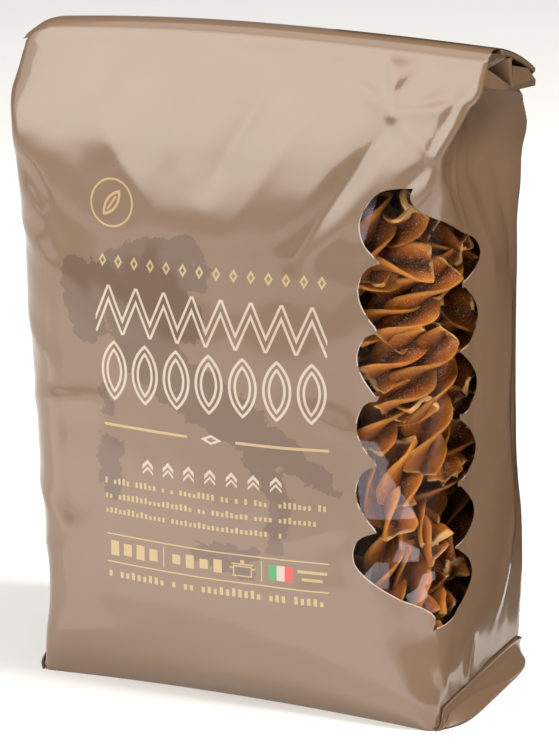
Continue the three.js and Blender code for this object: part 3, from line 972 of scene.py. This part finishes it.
def filmMaterial():
    sheet = Sheet("printed_film")
    u, level, place = sheet.film()
    coast = sheet.noise(place, filmLook["coast"], 3.0, 0.6)
    land = landMask(sheet, u, level, sheet.times(sheet.less(coast, 0.5), filmLook["ragged"]))
    cloudy = sheet.noise(place, filmLook["clouds"], 1.0)
    ground = sheet.mix(cloudy, inks["film"], inks["filmDark"])
    colour = sheet.mix(sheet.times(land, filmLook["figure"]), ground, inks["map"])
    golds, whites = printMasks(sheet, u, level)
    colour = sheet.mix(sheet.most(*golds), colour, inks["gold"])
    colour = sheet.mix(sheet.most(*whites), colour, inks["white"])
    flag = ornament["flag"]
    for k, ink in enumerate(flag["inks"]):
        middle = (flag["first"][0] + flag["pitch"] * k, flag["first"][1])
        colour = sheet.mix(sheet.box(u, level, middle, flag["half"]), colour, inks[ink])

    scale, strength, distance = filmLook["grain"]
    fine = sheet.noise(sheet.object(), scale, 2.0)
    wear = sheet.noise(sheet.object(), filmLook["wear"], 3.0, 0.6)
    rough = sheet.nodes.new("ShaderNodeMapRange")
    rough.inputs["To Min"].default_value, rough.inputs["To Max"].default_value = filmLook["roughness"]
    sheet.links.new(wear, rough.inputs["Value"])
    sheet.set(Base_Color=colour, Metallic=0.0, Specular_IOR_Level=filmLook["shine"])
    sheet.set(Coat_Weight=filmLook["coat"], Coat_Roughness=filmLook["coatRoughness"])
    sheet.set(Roughness=rough.outputs["Result"], Normal=sheet.bump(fine, strength, distance))
    return sheet.material


# painted highlight of the film's cut edge along the lower and left edges of the window
def edgeMaterial():
    sheet = Sheet("painted_edge_highlight")
    patchy = sheet.noise(sheet.object(), 400.0, 2.0)
    colour = sheet.mix(patchy, srgb(184, 168, 154), srgb(168, 150, 134))
    sheet.set(Base_Color=colour, Roughness=0.4, Coat_Weight=0.2, Coat_Roughness=0.1)
    return sheet.material


# Painted reflection: patches of the clear film given more shine, as corners (along the film, level)
paintedGlarePatches = [
    [(36, 128), (39.5, 142.5), (47, 152), (54, 162), (36, 165)],
    [(38, 86), (38, 74), (46, 74), (47.5, 80), (44, 86)],
    [(40, 62.8), (50, 62.8), (55.5, 62.8), (54.5, 66), (46.5, 78), (38, 78)],
    [(38, 42), (48, 42), (48, 49.8), (44, 49.8)],
    [(49, 50), (56.5, 49.6), (57, 53), (51, 56.5)],
    [(56, 41), (62, 43), (65.5, 46), (58, 45.5)],
    [(54, 36), (60, 38.5), (58.5, 42.5), (53, 40)],
]


clearLook = {
    "glancing": 0.25,          # share of shine where one looks along the film
    "power": 3.5,
    "patches": 0.055,          # share of shine in the painted reflection patches
    "least": 0.003,            # and everywhere
    "roughness": 0.05,
}


def clearMaterial():
    sheet = Sheet("clear_film")
    u, level, _ = sheet.film()
    haze = sheet.noise(sheet.object(), 140.0, 3.0, 0.6)
    clear = sheet.nodes.new("ShaderNodeBsdfTransparent")
    weight = sheet.nodes.new("ShaderNodeLayerWeight")
    glancing = sheet.math("POWER", weight.outputs["Facing"], clearLook["power"])
    # painted reflection: shine raised inside fixed patches of the film
    glareMask = sheet.most(*[sheet.patch(u, level, corners) for corners in paintedGlarePatches])
    share = sheet.sum(sheet.times(glareMask, clearLook["patches"]), clearLook["least"])
    share = sheet.sum(sheet.times(glancing, clearLook["glancing"]), share)
    shine = sheet.nodes.new("ShaderNodeBsdfGlossy")
    shine.inputs["Roughness"].default_value = clearLook["roughness"]
    sheet.links.new(sheet.mix(haze, srgb(232, 224, 236), srgb(214, 206, 220)), shine.inputs["Color"])
    join = sheet.nodes.new("ShaderNodeMixShader")
    sheet.links.new(share, join.inputs[0])
    sheet.links.new(clear.outputs[0], join.inputs[1])
    sheet.links.new(shine.outputs[0], join.inputs[2])
    sheet.links.new(join.outputs[0], sheet.nodes["Material Output"].inputs["Surface"])
    sheet.nodes.remove(sheet.shader)
    return sheet.material


pastaLook = {
    # from a spiral's core to the edge of its blades: painted shade in the channels near the core, and
    # lighter lips that are partly the pasta's own colour and partly painted highlight
    "stops": [
        (0.24, srgb(50, 19, 3)), (0.5, srgb(118, 58, 12)),
        (0.79, srgb(152, 84, 24)), (1.05, srgb(178, 112, 43)),
    ],
    "uneven": 0.5,
    "shade": (0.35, srgb(78, 34, 9)),      # share and colour that darken the spirals: a random tone, and painted shade on the layer behind
    "bran": (0.4, srgb(82, 40, 16)),
    # light flecks of the meal, partly painted glints
    "flecksAndGlints": (0.4, srgb(226, 172, 92)),
    "broken": (0.85, srgb(208, 164, 104)),
    "roughness": 0.5,
    "shine": 0.15,
}


def pastaMaterial():
    sheet = Sheet("wholemeal_pasta")
    where = sheet.object()
    cloud = sheet.less(sheet.noise(where, 160.0, 3.0, 0.6), 0.5)
    # colour by distance from the core: painted shade deep in the channels, lips lighter partly as painted
    # highlight
    outward = sheet.sum(sheet.attribute("reach"), sheet.times(cloud, pastaLook["uneven"]))
    colour = sheet.ramp(outward, pastaLook["stops"])
    bran = sheet.below(sheet.noise(where, 1500.0, 1.0, 0.5), 0.36)
    # light flecks, partly painted glints on the blades
    flecksAndGlints = sheet.math("GREATER_THAN", sheet.noise(where, 2600.0, 1.0, 0.5), 0.65)
    # random tone, and painted shade on the layer behind
    shade = sheet.attribute("shade")
    broken = sheet.attribute("broken")
    for name, mask in (("shade", shade), ("bran", bran), ("flecksAndGlints", flecksAndGlints), ("broken", broken)):
        share, ink = pastaLook[name]
        colour = sheet.mix(sheet.times(mask, share), colour, ink)
    grit = sheet.noise(where, 800.0, 3.0, 0.7)
    sheet.set(Base_Color=colour, Roughness=pastaLook["roughness"], Specular_IOR_Level=pastaLook["shine"])
    sheet.set(Normal=sheet.bump(grit, 0.3, 0.0004))
    return sheet.material


def darkMaterial():
    sheet = Sheet("pasta_shadow")
    cloud = sheet.noise(sheet.object(), 220.0, 3.0, 0.6)
    sheet.set(Base_Color=sheet.mix(cloud, srgb(58, 30, 14), srgb(96, 54, 26)), Roughness=0.7)
    return sheet.material


def floorMaterial():
    sheet = Sheet("floor")
    cloud = sheet.noise(sheet.object(), 3.0, 2.0)
    sheet.set(Base_Color=sheet.mix(cloud, srgb(244, 244, 244), srgb(248, 248, 248)), Roughness=0.6)
    return sheet.material


def cardMaterial(name, bright):
    sheet = Sheet(name)
    cloud = sheet.noise(sheet.object(), 3.0, 2.0)
    dark = sheet.mix(cloud, srgb(12, 11, 10), srgb(18, 16, 15))
    sheet.set(Base_Color=dark, Roughness=0.9, Specular_IOR_Level=0.0)
    if isinstance(bright, tuple):
        # the light fades between two heights: from, to, brightness there
        split = sheet.nodes.new("ShaderNodeSeparateXYZ")
        sheet.links.new(sheet.object(), split.inputs[0])
        fade = sheet.nodes.new("ShaderNodeMapRange")
        fade.interpolation_type = "SMOOTHSTEP"
        sheet.links.new(split.outputs[2], fade.inputs["Value"])
        for value, socket in zip(bright, ("From Min", "From Max", "To Min", "To Max")):
            fade.inputs[socket].default_value = value
        bright = fade.outputs["Result"]
    sheet.set(Emission_Color=(1.0, 0.97, 0.93, 1.0), Emission_Strength=bright)
    return sheet.material


print("Materials")
filmFinish = filmMaterial()
rimFinish = edgeMaterial()
clearFinish = clearMaterial()
pastaFinish = pastaMaterial()
darkFinish = darkMaterial()
floorFinish = floorMaterial()

print("Film")
flat = flatPattern()
# the strip between the two outlines is a painted highlight of the film's cut edge
rimOutline = outline + np.array(pane["rim"])
pinTips(flat, outline)
cutAlong(flat, outline)
cutAlong(flat, rimOutline)
layUv(flat)
within = set(insideOf(flat, outline))
clear = set(insideOf(flat, rimOutline)) & within
rim = {f for f in within - clear if f.calc_area() < pane["rimFace"]}


def partOf(source, keep):
    copy = source.copy()
    copy.faces.ensure_lookup_table()
    source.faces.index_update()
    wanted = {f.index for f in keep}
    bmesh.ops.delete(copy, geom=[f for f in copy.faces if f.index not in wanted], context="FACES")
    return copy


flat.faces.index_update()
printed = partOf(flat, set(flat.faces) - clear - rim)
clearPart = partOf(flat, clear)
rimPart = partOf(flat, rim)
flat.free()


underside = {
    "halfSize": (65.5, 33.5),
    # share of the half size across and from front to back, height above the table
    "rings": [(0.985, 0.97, 0.0), (0.88, 0.76, 0.15), (0.7, 0.45, 0.9), (0.45, 0.16, 1.2)],
}


def closeFoot(bm):
    # the underside: rings of film drawn in from the foot's edge, then a last face in the middle
    halfX, halfY = underside["halfSize"]
    ends = [e for e in bm.edges if e.is_boundary and all(v.co.z < 0.01 * mm for v in e.verts)]
    for shareX, shareY, height in underside["rings"]:
        made = bmesh.ops.extrude_edge_only(bm, edges=ends)["geom"]
        fresh = [g for g in made if isinstance(g, bmesh.types.BMVert)]
        reachX = max(abs(v.co.x) for v in fresh)
        reachY = max(abs(v.co.y) for v in fresh)
        for v in fresh:
            v.co.x *= shareX * halfX * mm / reachX
            v.co.y *= shareY * halfY * mm / reachY
            v.co.z = height * mm
        ends = [g for g in made if isinstance(g, bmesh.types.BMEdge) and g.is_boundary]
    bmesh.ops.edgeloop_fill(bm, edges=ends)


def onFootFold(v):
    return abs(v.co.y - wrap["footHeight"]) < 0.01 and abs(v.co.x) > 66


walls = {"print": 0.16, "clear": 0.08, "flap": 0.2, "foldEnd": 0.22}

footFold = [e for e in printed.edges if all(onFootFold(v) for v in e.verts)]
wrapUp(printed)
for e in footFold:
    e.smooth = False
backEdges = [v for v in printed.verts if v.is_boundary and abs(v.co.x) < 4 * mm and v.co.y > 10 * mm]
bmesh.ops.remove_doubles(printed, verts=backEdges, dist=0.35 * mm)
closeFoot(printed)
bmesh.ops.recalc_face_normals(printed, faces=printed.faces)
film = finished(printed, "film", filmFinish, ["bag"])
wrapUp(rimPart)
rimPiece = finished(rimPart, "window_rim", rimFinish, None)
wrapUp(clearPart)
window = finished(clearPart, "window_clear", clearFinish, ["window_film"])
addWall(film, walls["print"])
addWall(rimPiece, walls["print"])
addWall(window, walls["clear"])

print("Seam on the back")
seam = {
    "halfWidth": 5,
    "from": 3,
    "to": 190,
    "lift": 0.12,           # off the film at its welded edge
    "loose": 0.3,           # and so much more beyond it
    "wave": 0.25,           # its free edge waves
}


def backSeam():
    bm, verts, across, up = gridSheet(8, 110)
    side = across * seam["halfWidth"]
    level = seam["from"] + up * (seam["to"] - seam["from"])
    u = np.where(side < 0, wrap["halfRound"] + side, side - wrap["halfRound"])
    place = onFilm(u, level)
    normal = outwardAt(np.clip(u, 1 - wrap["halfRound"], wrap["halfRound"] - 1), level)
    waves = np.maximum(np.sin(level * 0.9 + side), 0) * (side > 3)
    edge = seam["lift"] + seam["loose"] * (side > -4.2) + seam["wave"] * waves
    place += normal * (reliefAt(place, u, level) + edge)[:, None]
    putAt(verts, place)
    faceTowards(bm, 1)
    addWall(plainFilm(bm, "back_seam"), walls["print"])


backSeam()

print("Flaps at the foot")
flaps = [
    # along the film from and to, height, length of its tapered end,
    # how far it stands off the film and how much further its upper edge does
    {"name": "foot_flap", "from": 62.0, "to": 141.0, "height": 5.0, "taper": 5, "off": 0.25, "lip": 0.8},
    {"name": "foot_flap_low", "from": 63.0, "to": 112.0, "height": 2.3, "taper": 34, "off": 0.6, "lip": 0.5},
]


def footFlap(flap, end, side):
    bm, verts, across, up = gridSheet(64, 4)
    along = flap["from"] + (flap["to"] - flap["from"]) * (across + 1) / 2
    height = flap["height"] * smooth(along, flap["from"], flap["from"] + 6)
    height *= 1 - smooth(along, flap["to"] - flap["taper"], flap["to"])
    level = 0.2 + height * up
    u = side * along
    place = onFilm(u, np.minimum(level, wrap["footHeight"]))
    normal = outwardAt(u, np.full(len(u), wrap["footHeight"] / 2))
    place += normal * (flap["off"] + flap["lip"] * up ** 2)[:, None]
    place[:, 2] = np.maximum(place[:, 2], 0.2)
    putAt(verts, place)
    faceTowards(bm, 0, side)
    addWall(plainFilm(bm, f"{flap['name']}_{end}"), walls["flap"], 1)


for flap in flaps:
    footFlap(flap, "right", 1)
    footFlap(flap, "left", -1)

print("Folded top")
fold = {
    "layerFrom": -7.0,      # from and to, measured from front to back
    "layerTo": 23.6,
    "layerHalf": 69.7,
    "layerDrop": 0.35,      # how far the layers lie under the top sheet
    "layerThick": 1.5,
    "layerEdge": 0.35,
}


def foldLayers():
    # the layers of film that lie under the top sheet of the fold
    bm, verts, across, up = gridSheet(70, 16)
    x = fold["layerHalf"] * across
    x = np.where(x < 0, x * wrap["foldLeft"] / wrap["foldRight"], x)
    down = foldWay[:len(overRidge)]
    near, far = np.interp([fold["layerFrom"], fold["layerTo"]], down[:, 0], foldDistance[:len(down)])
    t = near + (far - near) * up
    y = np.interp(t, foldDistance, foldWay[:, 0])
    below = np.interp(t, foldDistance, foldWay[:, 1]) + fold["layerDrop"]
    putAt(verts, np.stack([x, y, ridgeAt(x) - below], 1))
    faceTowards(bm, 2)
    piece = plainFilm(bm, "fold_layers")
    addWall(piece, fold["layerThick"])
    soft = piece.modifiers.new("soft", "BEVEL")
    soft.width = fold["layerEdge"] * mm
    soft.segments = 2


foldLayers()

# Corners of the tucked-in film at the right end of the fold, in millimetres
endPoints = {
    "edgeTop": (69.6, -17.0, 196.0), "edgeLow": (66.5, -18.6, 191.0), "roof": (69.4, 1.3, 191.9),
    "darkTop": (66.8, -11.8, 190.4), "foot": (69.7, 1.4, 182.7), "lipStart": (65.5, -18.0, 187.4),
    "lipMiddle": (67.5, -7.4, 184.0), "lipFoot": (69.3, 3.4, 181.2), "stripTop": (69.3, -1.9, 191.4),
    "stripFront": (69.9, 0.2, 191.4), "litTop": (69.6, 1.9, 188.6), "litFar": (69.5, 16.4, 184.9),
    "lobe": (69.6, 23.6, 180.0), "lobeFoot": (69.2, 24.4, 178.2), "deep": (55.0, -1.0, 186.5),
    "deepRight": (58.0, 12.0, 184.0), "lipIn": (62.0, -6.0, 182.5), "lobeIn": (60.0, 20.0, 178.5),
    "middleLobe": (69.7, 13.0, 181.6),
}
endFacets = [
    ("edgeTop", "edgeLow", "darkTop"), ("edgeTop", "darkTop", "roof"),
    ("darkTop", "deep", "roof"), ("darkTop", "foot", "deep"), ("stripTop", "deep", "foot"),
    ("stripTop", "stripFront", "foot"), ("edgeLow", "lipStart", "lipMiddle", "darkTop"),
    ("darkTop", "lipMiddle", "lipFoot", "foot"), ("litTop", "foot", "litFar"),
    ("litTop", "litFar", "deepRight", "deep"), ("litFar", "foot", "middleLobe", "lobe"),
    ("foot", "lipFoot", "lobeFoot", "middleLobe"), ("middleLobe", "lobeFoot", "lobe"),
    ("lipStart", "lipIn", "lipMiddle"), ("lipMiddle", "lipIn", "lipFoot"),
    ("lipFoot", "lipIn", "lobeIn", "lobeFoot"),
]
# The left end mirrors the right one, further in and lower, as the ridge is lower there
leftEnd = {"in": 1.0, "down": 1.6, "ridge": (-70.6, 69.6)}


def foldEnd(name, side):
    bm = bmesh.new()
    made = {}
    left, right = ridgeAt(np.array(leftEnd["ridge"]))
    for key, (x, y, z) in endPoints.items():
        if side < 0:
            z += float(left) - float(right) - leftEnd["down"]
            x = -x - leftEnd["in"]
        made[key] = bm.verts.new((x * mm, y * mm, z * mm))
    for corners in endFacets:
        bm.faces.new([made[key] for key in corners])
    bmesh.ops.recalc_face_normals(bm, faces=bm.faces)
    bmesh.ops.subdivide_edges(bm, edges=bm.edges, cuts=2, use_grid_fill=True)
    addWall(plainFilm(bm, name, smoothFaces=False), walls["foldEnd"], 0)


foldEnd("fold_end_right", 1)
foldEnd("fold_end_left", -1)

print("Pasta")
pasta = {
    "radius": 6.8,
    "uneven": (-0.06, 0.05),    # a blade is longer or shorter by such a share
    "root": 1.1,
    "base": 1.15,               # half thickness of a blade at its root
    "thin": 0.72,               # half thickness in the middle of a blade
    "lip": 0.9,                 # half thickness near its edge
    "curl": -30,                # degrees that a blade bends on its way out
    "pitch": 38,
    "pitchUneven": (0.9, 1.1),
    "step": 1.25,
    "bow": 1.4,                 # how far a spiral bends to one side at most
    "ragged": (5.0, 1.8, 0.9),  # broken ends: coarse, fine, and no more than this
    "ruffle": (0.11, 0.05),
    "margin": 1.3,              # least distance under the film
    "seed": 11,
}


def towards(azimuth, elevation):
    # direction from the packet, azimuth measured from the front to the right
    turn = math.radians(azimuth)
    up = math.radians(elevation)
    return Vector((math.sin(turn) * math.cos(up), -math.cos(turn) * math.cos(up), math.sin(up)))


# The pasta is laid as one looks into the window from the front right and a little above
outwards = towards(camera["azimuth"], camera["elevation"])
rightwards = towards(camera["azimuth"] + 90, 0)
upwards = outwards.cross(rightwards)

# (along the film, level, tilt from level, length, sunk, turn, lean towards the window)
spirals = [
    (58.8, 126.0, 52, 27, 8.4, 0.3, 0), (46.0, 125.0, 46, 24, 9.4, 1.3, 0),
    (47.0, 136.4, 14, 22, 8.8, 1.1, 6), (49.2, 112.8, 48, 19, 9.4, 0.2, 0),
    (56.2, 106.6, 55, 27, 8.2, 0.5, 0), (46.5, 94.5, 66, 22, 9.0, 1.7, 0),
    (62.0, 91.7, 84, 32, 8.0, 1.6, 4), (53.5, 96.0, 20, 15, 11.0, 0.9, 58),
    (69.5, 82.0, 104, 20, 9.0, 0.1, 0), (64.3, 60.5, -52, 24, 8.4, 1.9, 24),
    (51.4, 76.1, 88, 17, 10.0, 1.2, 0), (56.0, 59.5, -48, 28, 7.8, 0.7, 0),
    (46.1, 69.1, -66, 22, 10.0, 0.4, 0), (46.6, 48.0, 92, 24, 9.2, 1.5, 0),
    (55.4, 43.2, -74, 21, 9.5, 0.2, 0), (68.4, 39.4, -66, 24, 8.4, 1.0, 12),
    (62.6, 32.0, -60, 22, 10.0, 0.6, 0), (42.0, 145.2, 84, 24, 10.5, 1.8, 0),
    (50.1, 150.5, 60, 16, 11.5, 0.4, 62), (70.7, 137.3, 74, 20, 8.6, 1.3, 0),
    (59.5, 143.0, 28, 25, 21.0, 0.8, 0), (75.5, 45.1, -58, 14, 13.0, 0.5, 0),
    (42.3, 50.2, 32, 22, 20.0, 1.4, 0), (72.5, 113.3, 64, 24, 17.0, 0.1, 0),
]


# points of the film about the window, to tell how deep a piece of pasta lies under it
def filmPoints(step=2.5):
    u, level = [grid.ravel() for grid in np.meshgrid(np.arange(5, 150, step), np.arange(4, 190, step))]
    place = onFilm(u, level)
    tree = kdtree.KDTree(len(place))
    for i, p in enumerate(place):
        tree.insert(p, i)
    tree.balance()
    return tree, [Vector(n) for n in outwardAt(u, level)]


filmTree, filmNormals = filmPoints()


def wayBack(points):
    # how far and which way a piece must move for all its points to lie under the film
    worst = -99.0
    way = Vector()
    for p in points:
        near, i, _ = filmTree.find(p)
        out = (p - near).dot(filmNormals[i])
        if out > worst:
            worst = out
            way = -filmNormals[i]
    return (worst + pasta["margin"]) * way if worst > -pasta["margin"] else None


def bladeSection(bm, wobble):
    ring = []
    curl = math.radians(pasta["curl"])
    for blade in range(3):
        start = blade * math.tau / 3
        long = pasta["radius"] * (1 + wobble[blade])
        # how far out, and half the thickness there
        places = [
            (pasta["root"] + 0.8, pasta["base"]),
            (long * 0.5, pasta["thin"] * 1.1),
            (long * 0.76, pasta["thin"]),
            (long - 0.9, pasta["lip"]),
            (long - 0.2, pasta["lip"] * 0.75),
        ]
        valley = Matrix.Rotation(start - math.pi / 3, 3, "Z") @ Vector((pasta["root"], 0, 0))
        near = []
        far = []
        for out, half in places:
            bend = Matrix.Rotation(start + curl * (out / long) ** 2, 3, "Z")
            near.append(bend @ Vector((out, -half, 0)))
            far.append(bend @ Vector((out, half, 0)))
        tip = Matrix.Rotation(start + curl, 3, "Z") @ Vector((long, 0, 0))
        ring += [bm.verts.new(p) for p in [valley] + near + [tip] + far[::-1]]
    return bm.faces.new(ring)


def breakEnds(bm, length, lastStep, pitch, shift):
    # draws the last turn towards each end, breaks the ends unevenly and ruffles the blades
    broken = bm.verts.layers.float.new("broken")
    reach = bm.verts.layers.float.new("reach")
    coarse, fine, most = pasta["ragged"]
    broad, small = pasta["ruffle"]
    for v in bm.verts:
        away = v.co.xy.length / pasta["radius"]
        fromEnd = length / 2 - abs(v.co.z)
        atEnd = fromEnd < 0.01
        if abs(fromEnd - lastStep) < 0.01:
            shove = math.copysign(lastStep * 0.6, v.co.z)
            v.co = Matrix.Rotation(math.tau * shove / pitch, 3, "Z") @ v.co + Vector((0, 0, shove))
        v[broken] = 1.0 if atEnd else 0.0
        v[reach] = away
        if fromEnd < lastStep * 1.1:
            ragged = noise.noise(v.co * 0.36 + shift) * coarse
            ragged += noise.noise(v.co * 1.2 + shift) * fine if atEnd else 0.0
            v.co.z += math.copysign(min(ragged, most), v.co.z)
        ruffle = broad * noise.noise(v.co * 0.17 + shift) + small * noise.noise(v.co * 0.55 + shift)
        v.co.xy *= 1 + ruffle * away


def addSpiral(heap, place, tilt, length, turn, lean, draw, deeper=0.0):
    bm = bmesh.new()
    face = bladeSection(bm, [draw.uniform(*pasta["uneven"]) for _ in range(3)])
    steps = max(8, round(length / pasta["step"]))
    pitch = pasta["pitch"] * draw.uniform(*pasta["pitchUneven"])
    geometry = [face] + list(face.edges) + list(face.verts)
    bmesh.ops.spin(bm, geom=geometry, cent=(0, 0, 0), axis=(0, 0, 1), dvec=(0, 0, length / steps),
                   angle=math.tau * length / pitch, steps=steps, use_duplicate=False)
    bmesh.ops.holes_fill(bm, edges=[e for e in bm.edges if e.is_boundary], sides=0)
    bmesh.ops.translate(bm, verts=bm.verts, vec=(0, 0, -length / 2))
    # a random tone, plus painted shade that darkens the layer behind
    toneAndShade = draw.uniform(0, 1) + deeper
    bow = draw.uniform(-pasta["bow"], pasta["bow"])
    shift = Vector((draw.uniform(0, 90), draw.uniform(0, 90), 0))
    breakEnds(bm, length, length / steps, pitch, shift)
    shade = bm.verts.layers.float.new("shade")
    for v in bm.verts:
        v[shade] = toneAndShade
        v.co.x += bow * (1 - (2 * v.co.z / length) ** 2)
    turnAbout(bm, turn, "Z")
    turnAbout(bm, math.radians(lean), "X")
    turnAbout(bm, math.radians(90 - tilt), "Y")
    basis = Matrix((rightwards, -outwards, upwards)).transposed()
    bmesh.ops.transform(bm, verts=bm.verts, matrix=basis.to_4x4())
    bmesh.ops.translate(bm, verts=bm.verts, vec=place)
    for _ in range(14):
        step = wayBack([v.co for v in bm.verts])
        if step is None:
            break
        bmesh.ops.translate(bm, verts=bm.verts, vec=step * 1.02)
    bmesh.ops.scale(bm, verts=bm.verts, vec=(mm, mm, mm))
    bmesh.ops.recalc_face_normals(bm, faces=bm.faces)
    spiral = bpy.data.meshes.new("spiral")
    bm.to_mesh(spiral)
    bm.free()
    heap.from_mesh(spiral)
    bpy.data.meshes.remove(spiral)


draw = random.Random(pasta["seed"])
heap = bmesh.new()
for u, level, tilt, length, sunk, turn, lean in spirals:
    surface = Vector(onFilm([u], [level])[0])
    addSpiral(heap, surface - outwards * sunk, tilt, length, turn, lean, draw)
spiralsPiece = finished(heap, "pasta_spirals", pastaFinish, None)
softer = spiralsPiece.modifiers.new("softer", "SUBSURF")
softer.levels = 1
softer.render_levels = 1

# a second layer behind, lying every way, painted darker as shade
behind = {
    "rows": 10,
    "columns": 3,
    "low": 30,
    "high": 152,
    "first": 44,            # along the film
    "apart": 15,
    "depth": 22,
    "deeper": 1.4,          # painted shade: how much darker the layer behind is painted than the front layer
}
deepHeap = bmesh.new()
rise = behind["high"] - behind["low"]
for row in range(behind["rows"]):
    for column in range(behind["columns"]):
        level = behind["low"] + rise * row / (behind["rows"] - 1) + draw.uniform(-4, 4)
        u = behind["first"] + behind["apart"] * column + draw.uniform(-4, 4)
        surface = Vector(onFilm([u], [level])[0])
        place = surface - outwards * (behind["depth"] + draw.uniform(-2.0, 2.5))
        addSpiral(deepHeap, place, draw.uniform(-90, 90), draw.uniform(26, 34), draw.uniform(0, 2),
                  draw.uniform(-20, 20), draw, behind["deeper"])
finished(deepHeap, "pasta_spirals_behind", pastaFinish, None)

core = {"low": 12, "high": 166, "across": 0.72, "depth": 0.46, "up": 0.97, "lump": 3.0, "lumpSize": 9}


def pastaCore():
    bm, verts, across, up = gridSheet(120, 60)
    u = wrap["halfRound"] * across
    level = core["low"] + (core["high"] - core["low"]) * up
    for v, p in zip(verts, onFilm(u, level)):
        lump = core["lump"] * noise.noise(Vector(p) / core["lumpSize"])
        v.co = Vector((p[0] * core["across"] + lump, p[1] * core["depth"] - lump, p[2] * core["up"])) * mm
    bmesh.ops.remove_doubles(bm, verts=bm.verts, dist=1e-5)
    bmesh.ops.holes_fill(bm, edges=[e for e in bm.edges if e.is_boundary], sides=0)
    bmesh.ops.recalc_face_normals(bm, faces=bm.faces)
    finished(bm, "pasta_core", darkFinish, ["pasta"])


pastaCore()

print("Room, light and camera")
room = {
    "floorSize": 6.0,
    "lights": [
        # name, place, size, power, colour
        ("key", (-0.55, -1.15, 0.88), (1.35, 0.95), 20.5, (1.0, 0.965, 0.895)),
        ("left", (-1.25, -0.55, 0.75), (0.5, 0.8), 2, (1.0, 0.99, 0.97)),
        ("right", (0.78, 0.08, 1.12), (0.4, 0.4), 19, (1.0, 0.95, 0.88)),
    ],
    "ambient": 0.5,
    "mirrored": 0.15,      # how bright the room is where the film mirrors it
}


def stagePiece(bm, name, material):
    mesh = bpy.data.meshes.new(name)
    bm.to_mesh(mesh)
    bm.free()
    mesh.materials.append(material)
    piece = bpy.data.objects.new(name, mesh)
    scene.collection.objects.link(piece)
    return piece


bm = bmesh.new()
bmesh.ops.create_grid(bm, x_segments=1, y_segments=1, size=room["floorSize"])
stagePiece(bm, "floor", floorFinish)

aim = Vector(camera["aim"])
for name, place, size, power, colour in room["lights"]:
    lamp = bpy.data.lights.new(name, "AREA")
    lamp.shape = "RECTANGLE"
    lamp.size, lamp.size_y = size
    lamp.energy = power
    lamp.color = colour
    holder = bpy.data.objects.new(name, lamp)
    holder.location = place
    holder.rotation_euler = (aim - Vector(place)).to_track_quat("-Z", "Y").to_euler()
    scene.collection.objects.link(holder)

world = bpy.data.worlds.new("studio")
scene.world = world
world.use_nodes = True
background = world.node_tree.nodes["Background"]
background.inputs["Color"].default_value = (1, 1, 1, 1)
path = world.node_tree.nodes.new("ShaderNodeLightPath")
strength = world.node_tree.nodes.new("ShaderNodeMapRange")
strength.inputs["To Min"].default_value = room["ambient"]
strength.inputs["To Max"].default_value = room["mirrored"]
backdrop = world.node_tree.nodes.new("ShaderNodeMath")
backdrop.operation = "MAXIMUM"
world.node_tree.links.new(path.outputs["Is Glossy Ray"], strength.inputs["Value"])
world.node_tree.links.new(path.outputs["Is Camera Ray"], backdrop.inputs[0])
world.node_tree.links.new(strength.outputs["Result"], backdrop.inputs[1])
world.node_tree.links.new(backdrop.outputs[0], background.inputs["Strength"])

# Cards that only reflections see: dark ones keep the right side of the film dark,
# light ones on the table in front give the film its patches of shine
cards = [
    # name, middle, width and height, turn about x, turn about z, brightness
    ("dark_card_back", (0.44, 0.10, 0.35), (0.92, 0.7), 90, 0, 0.0),
    ("dark_card_low", (0.42, 0.045, 0.0006), (0.69, 0.11), 0, 0, 0.0),
    ("light_card_near", (0.05, -0.115, 0.0006), (0.8, 0.10), 0, 8, 2.6),
    ("light_card_middle", (-0.12, -0.30, 0.0006), (0.5, 0.07), 0, -14, 2.0),
    ("dark_card_far", (-0.2, -0.52, 0.0006), (1.4, 0.22), 0, 0, 0.25),
    ("light_card_high", (-0.1, -0.3, 1.8), (1.8, 1.6), 10, 0, 2.2),
    ("light_card_fading", (-0.70, -1.46, 0.33), (1.35, 0.34), 58.2, -25.6, (0.19, 0.475, 0.3, 4.6)),
    ("light_card_above", (-0.385, -0.805, 1.496), (1.35, 0.5), 58.2, -25.6, (1.285, 1.70, 4.4, 0.8)),
]
for name, middle, (wide, high), turnX, turnZ, bright in cards:
    bm = bmesh.new()
    bmesh.ops.create_grid(bm, x_segments=1, y_segments=1, size=0.5)
    bmesh.ops.scale(bm, verts=bm.verts, vec=(wide, high, 1))
    turnAbout(bm, math.radians(turnX), "X")
    turnAbout(bm, math.radians(turnZ), "Z")
    bmesh.ops.translate(bm, verts=bm.verts, vec=middle)
    card = stagePiece(bm, name, cardMaterial(name, bright))
    for ray in ("camera", "diffuse", "shadow", "transmission"):
        setattr(card, f"visible_{ray}", False)

lens = bpy.data.cameras.new("camera")
lens.sensor_width = camera["sensor"]
lens.lens = camera["focalPixels"] * camera["sensor"] / camera["longSide"]
lens.clip_start = 0.05
eye = bpy.data.objects.new("camera", lens)
eye.location = aim + outwards * camera["distance"]
eye.rotation_euler = (-outwards).to_track_quat("-Z", "Y").to_euler()
scene.collection.objects.link(eye)
scene.camera = eye

print("Done")
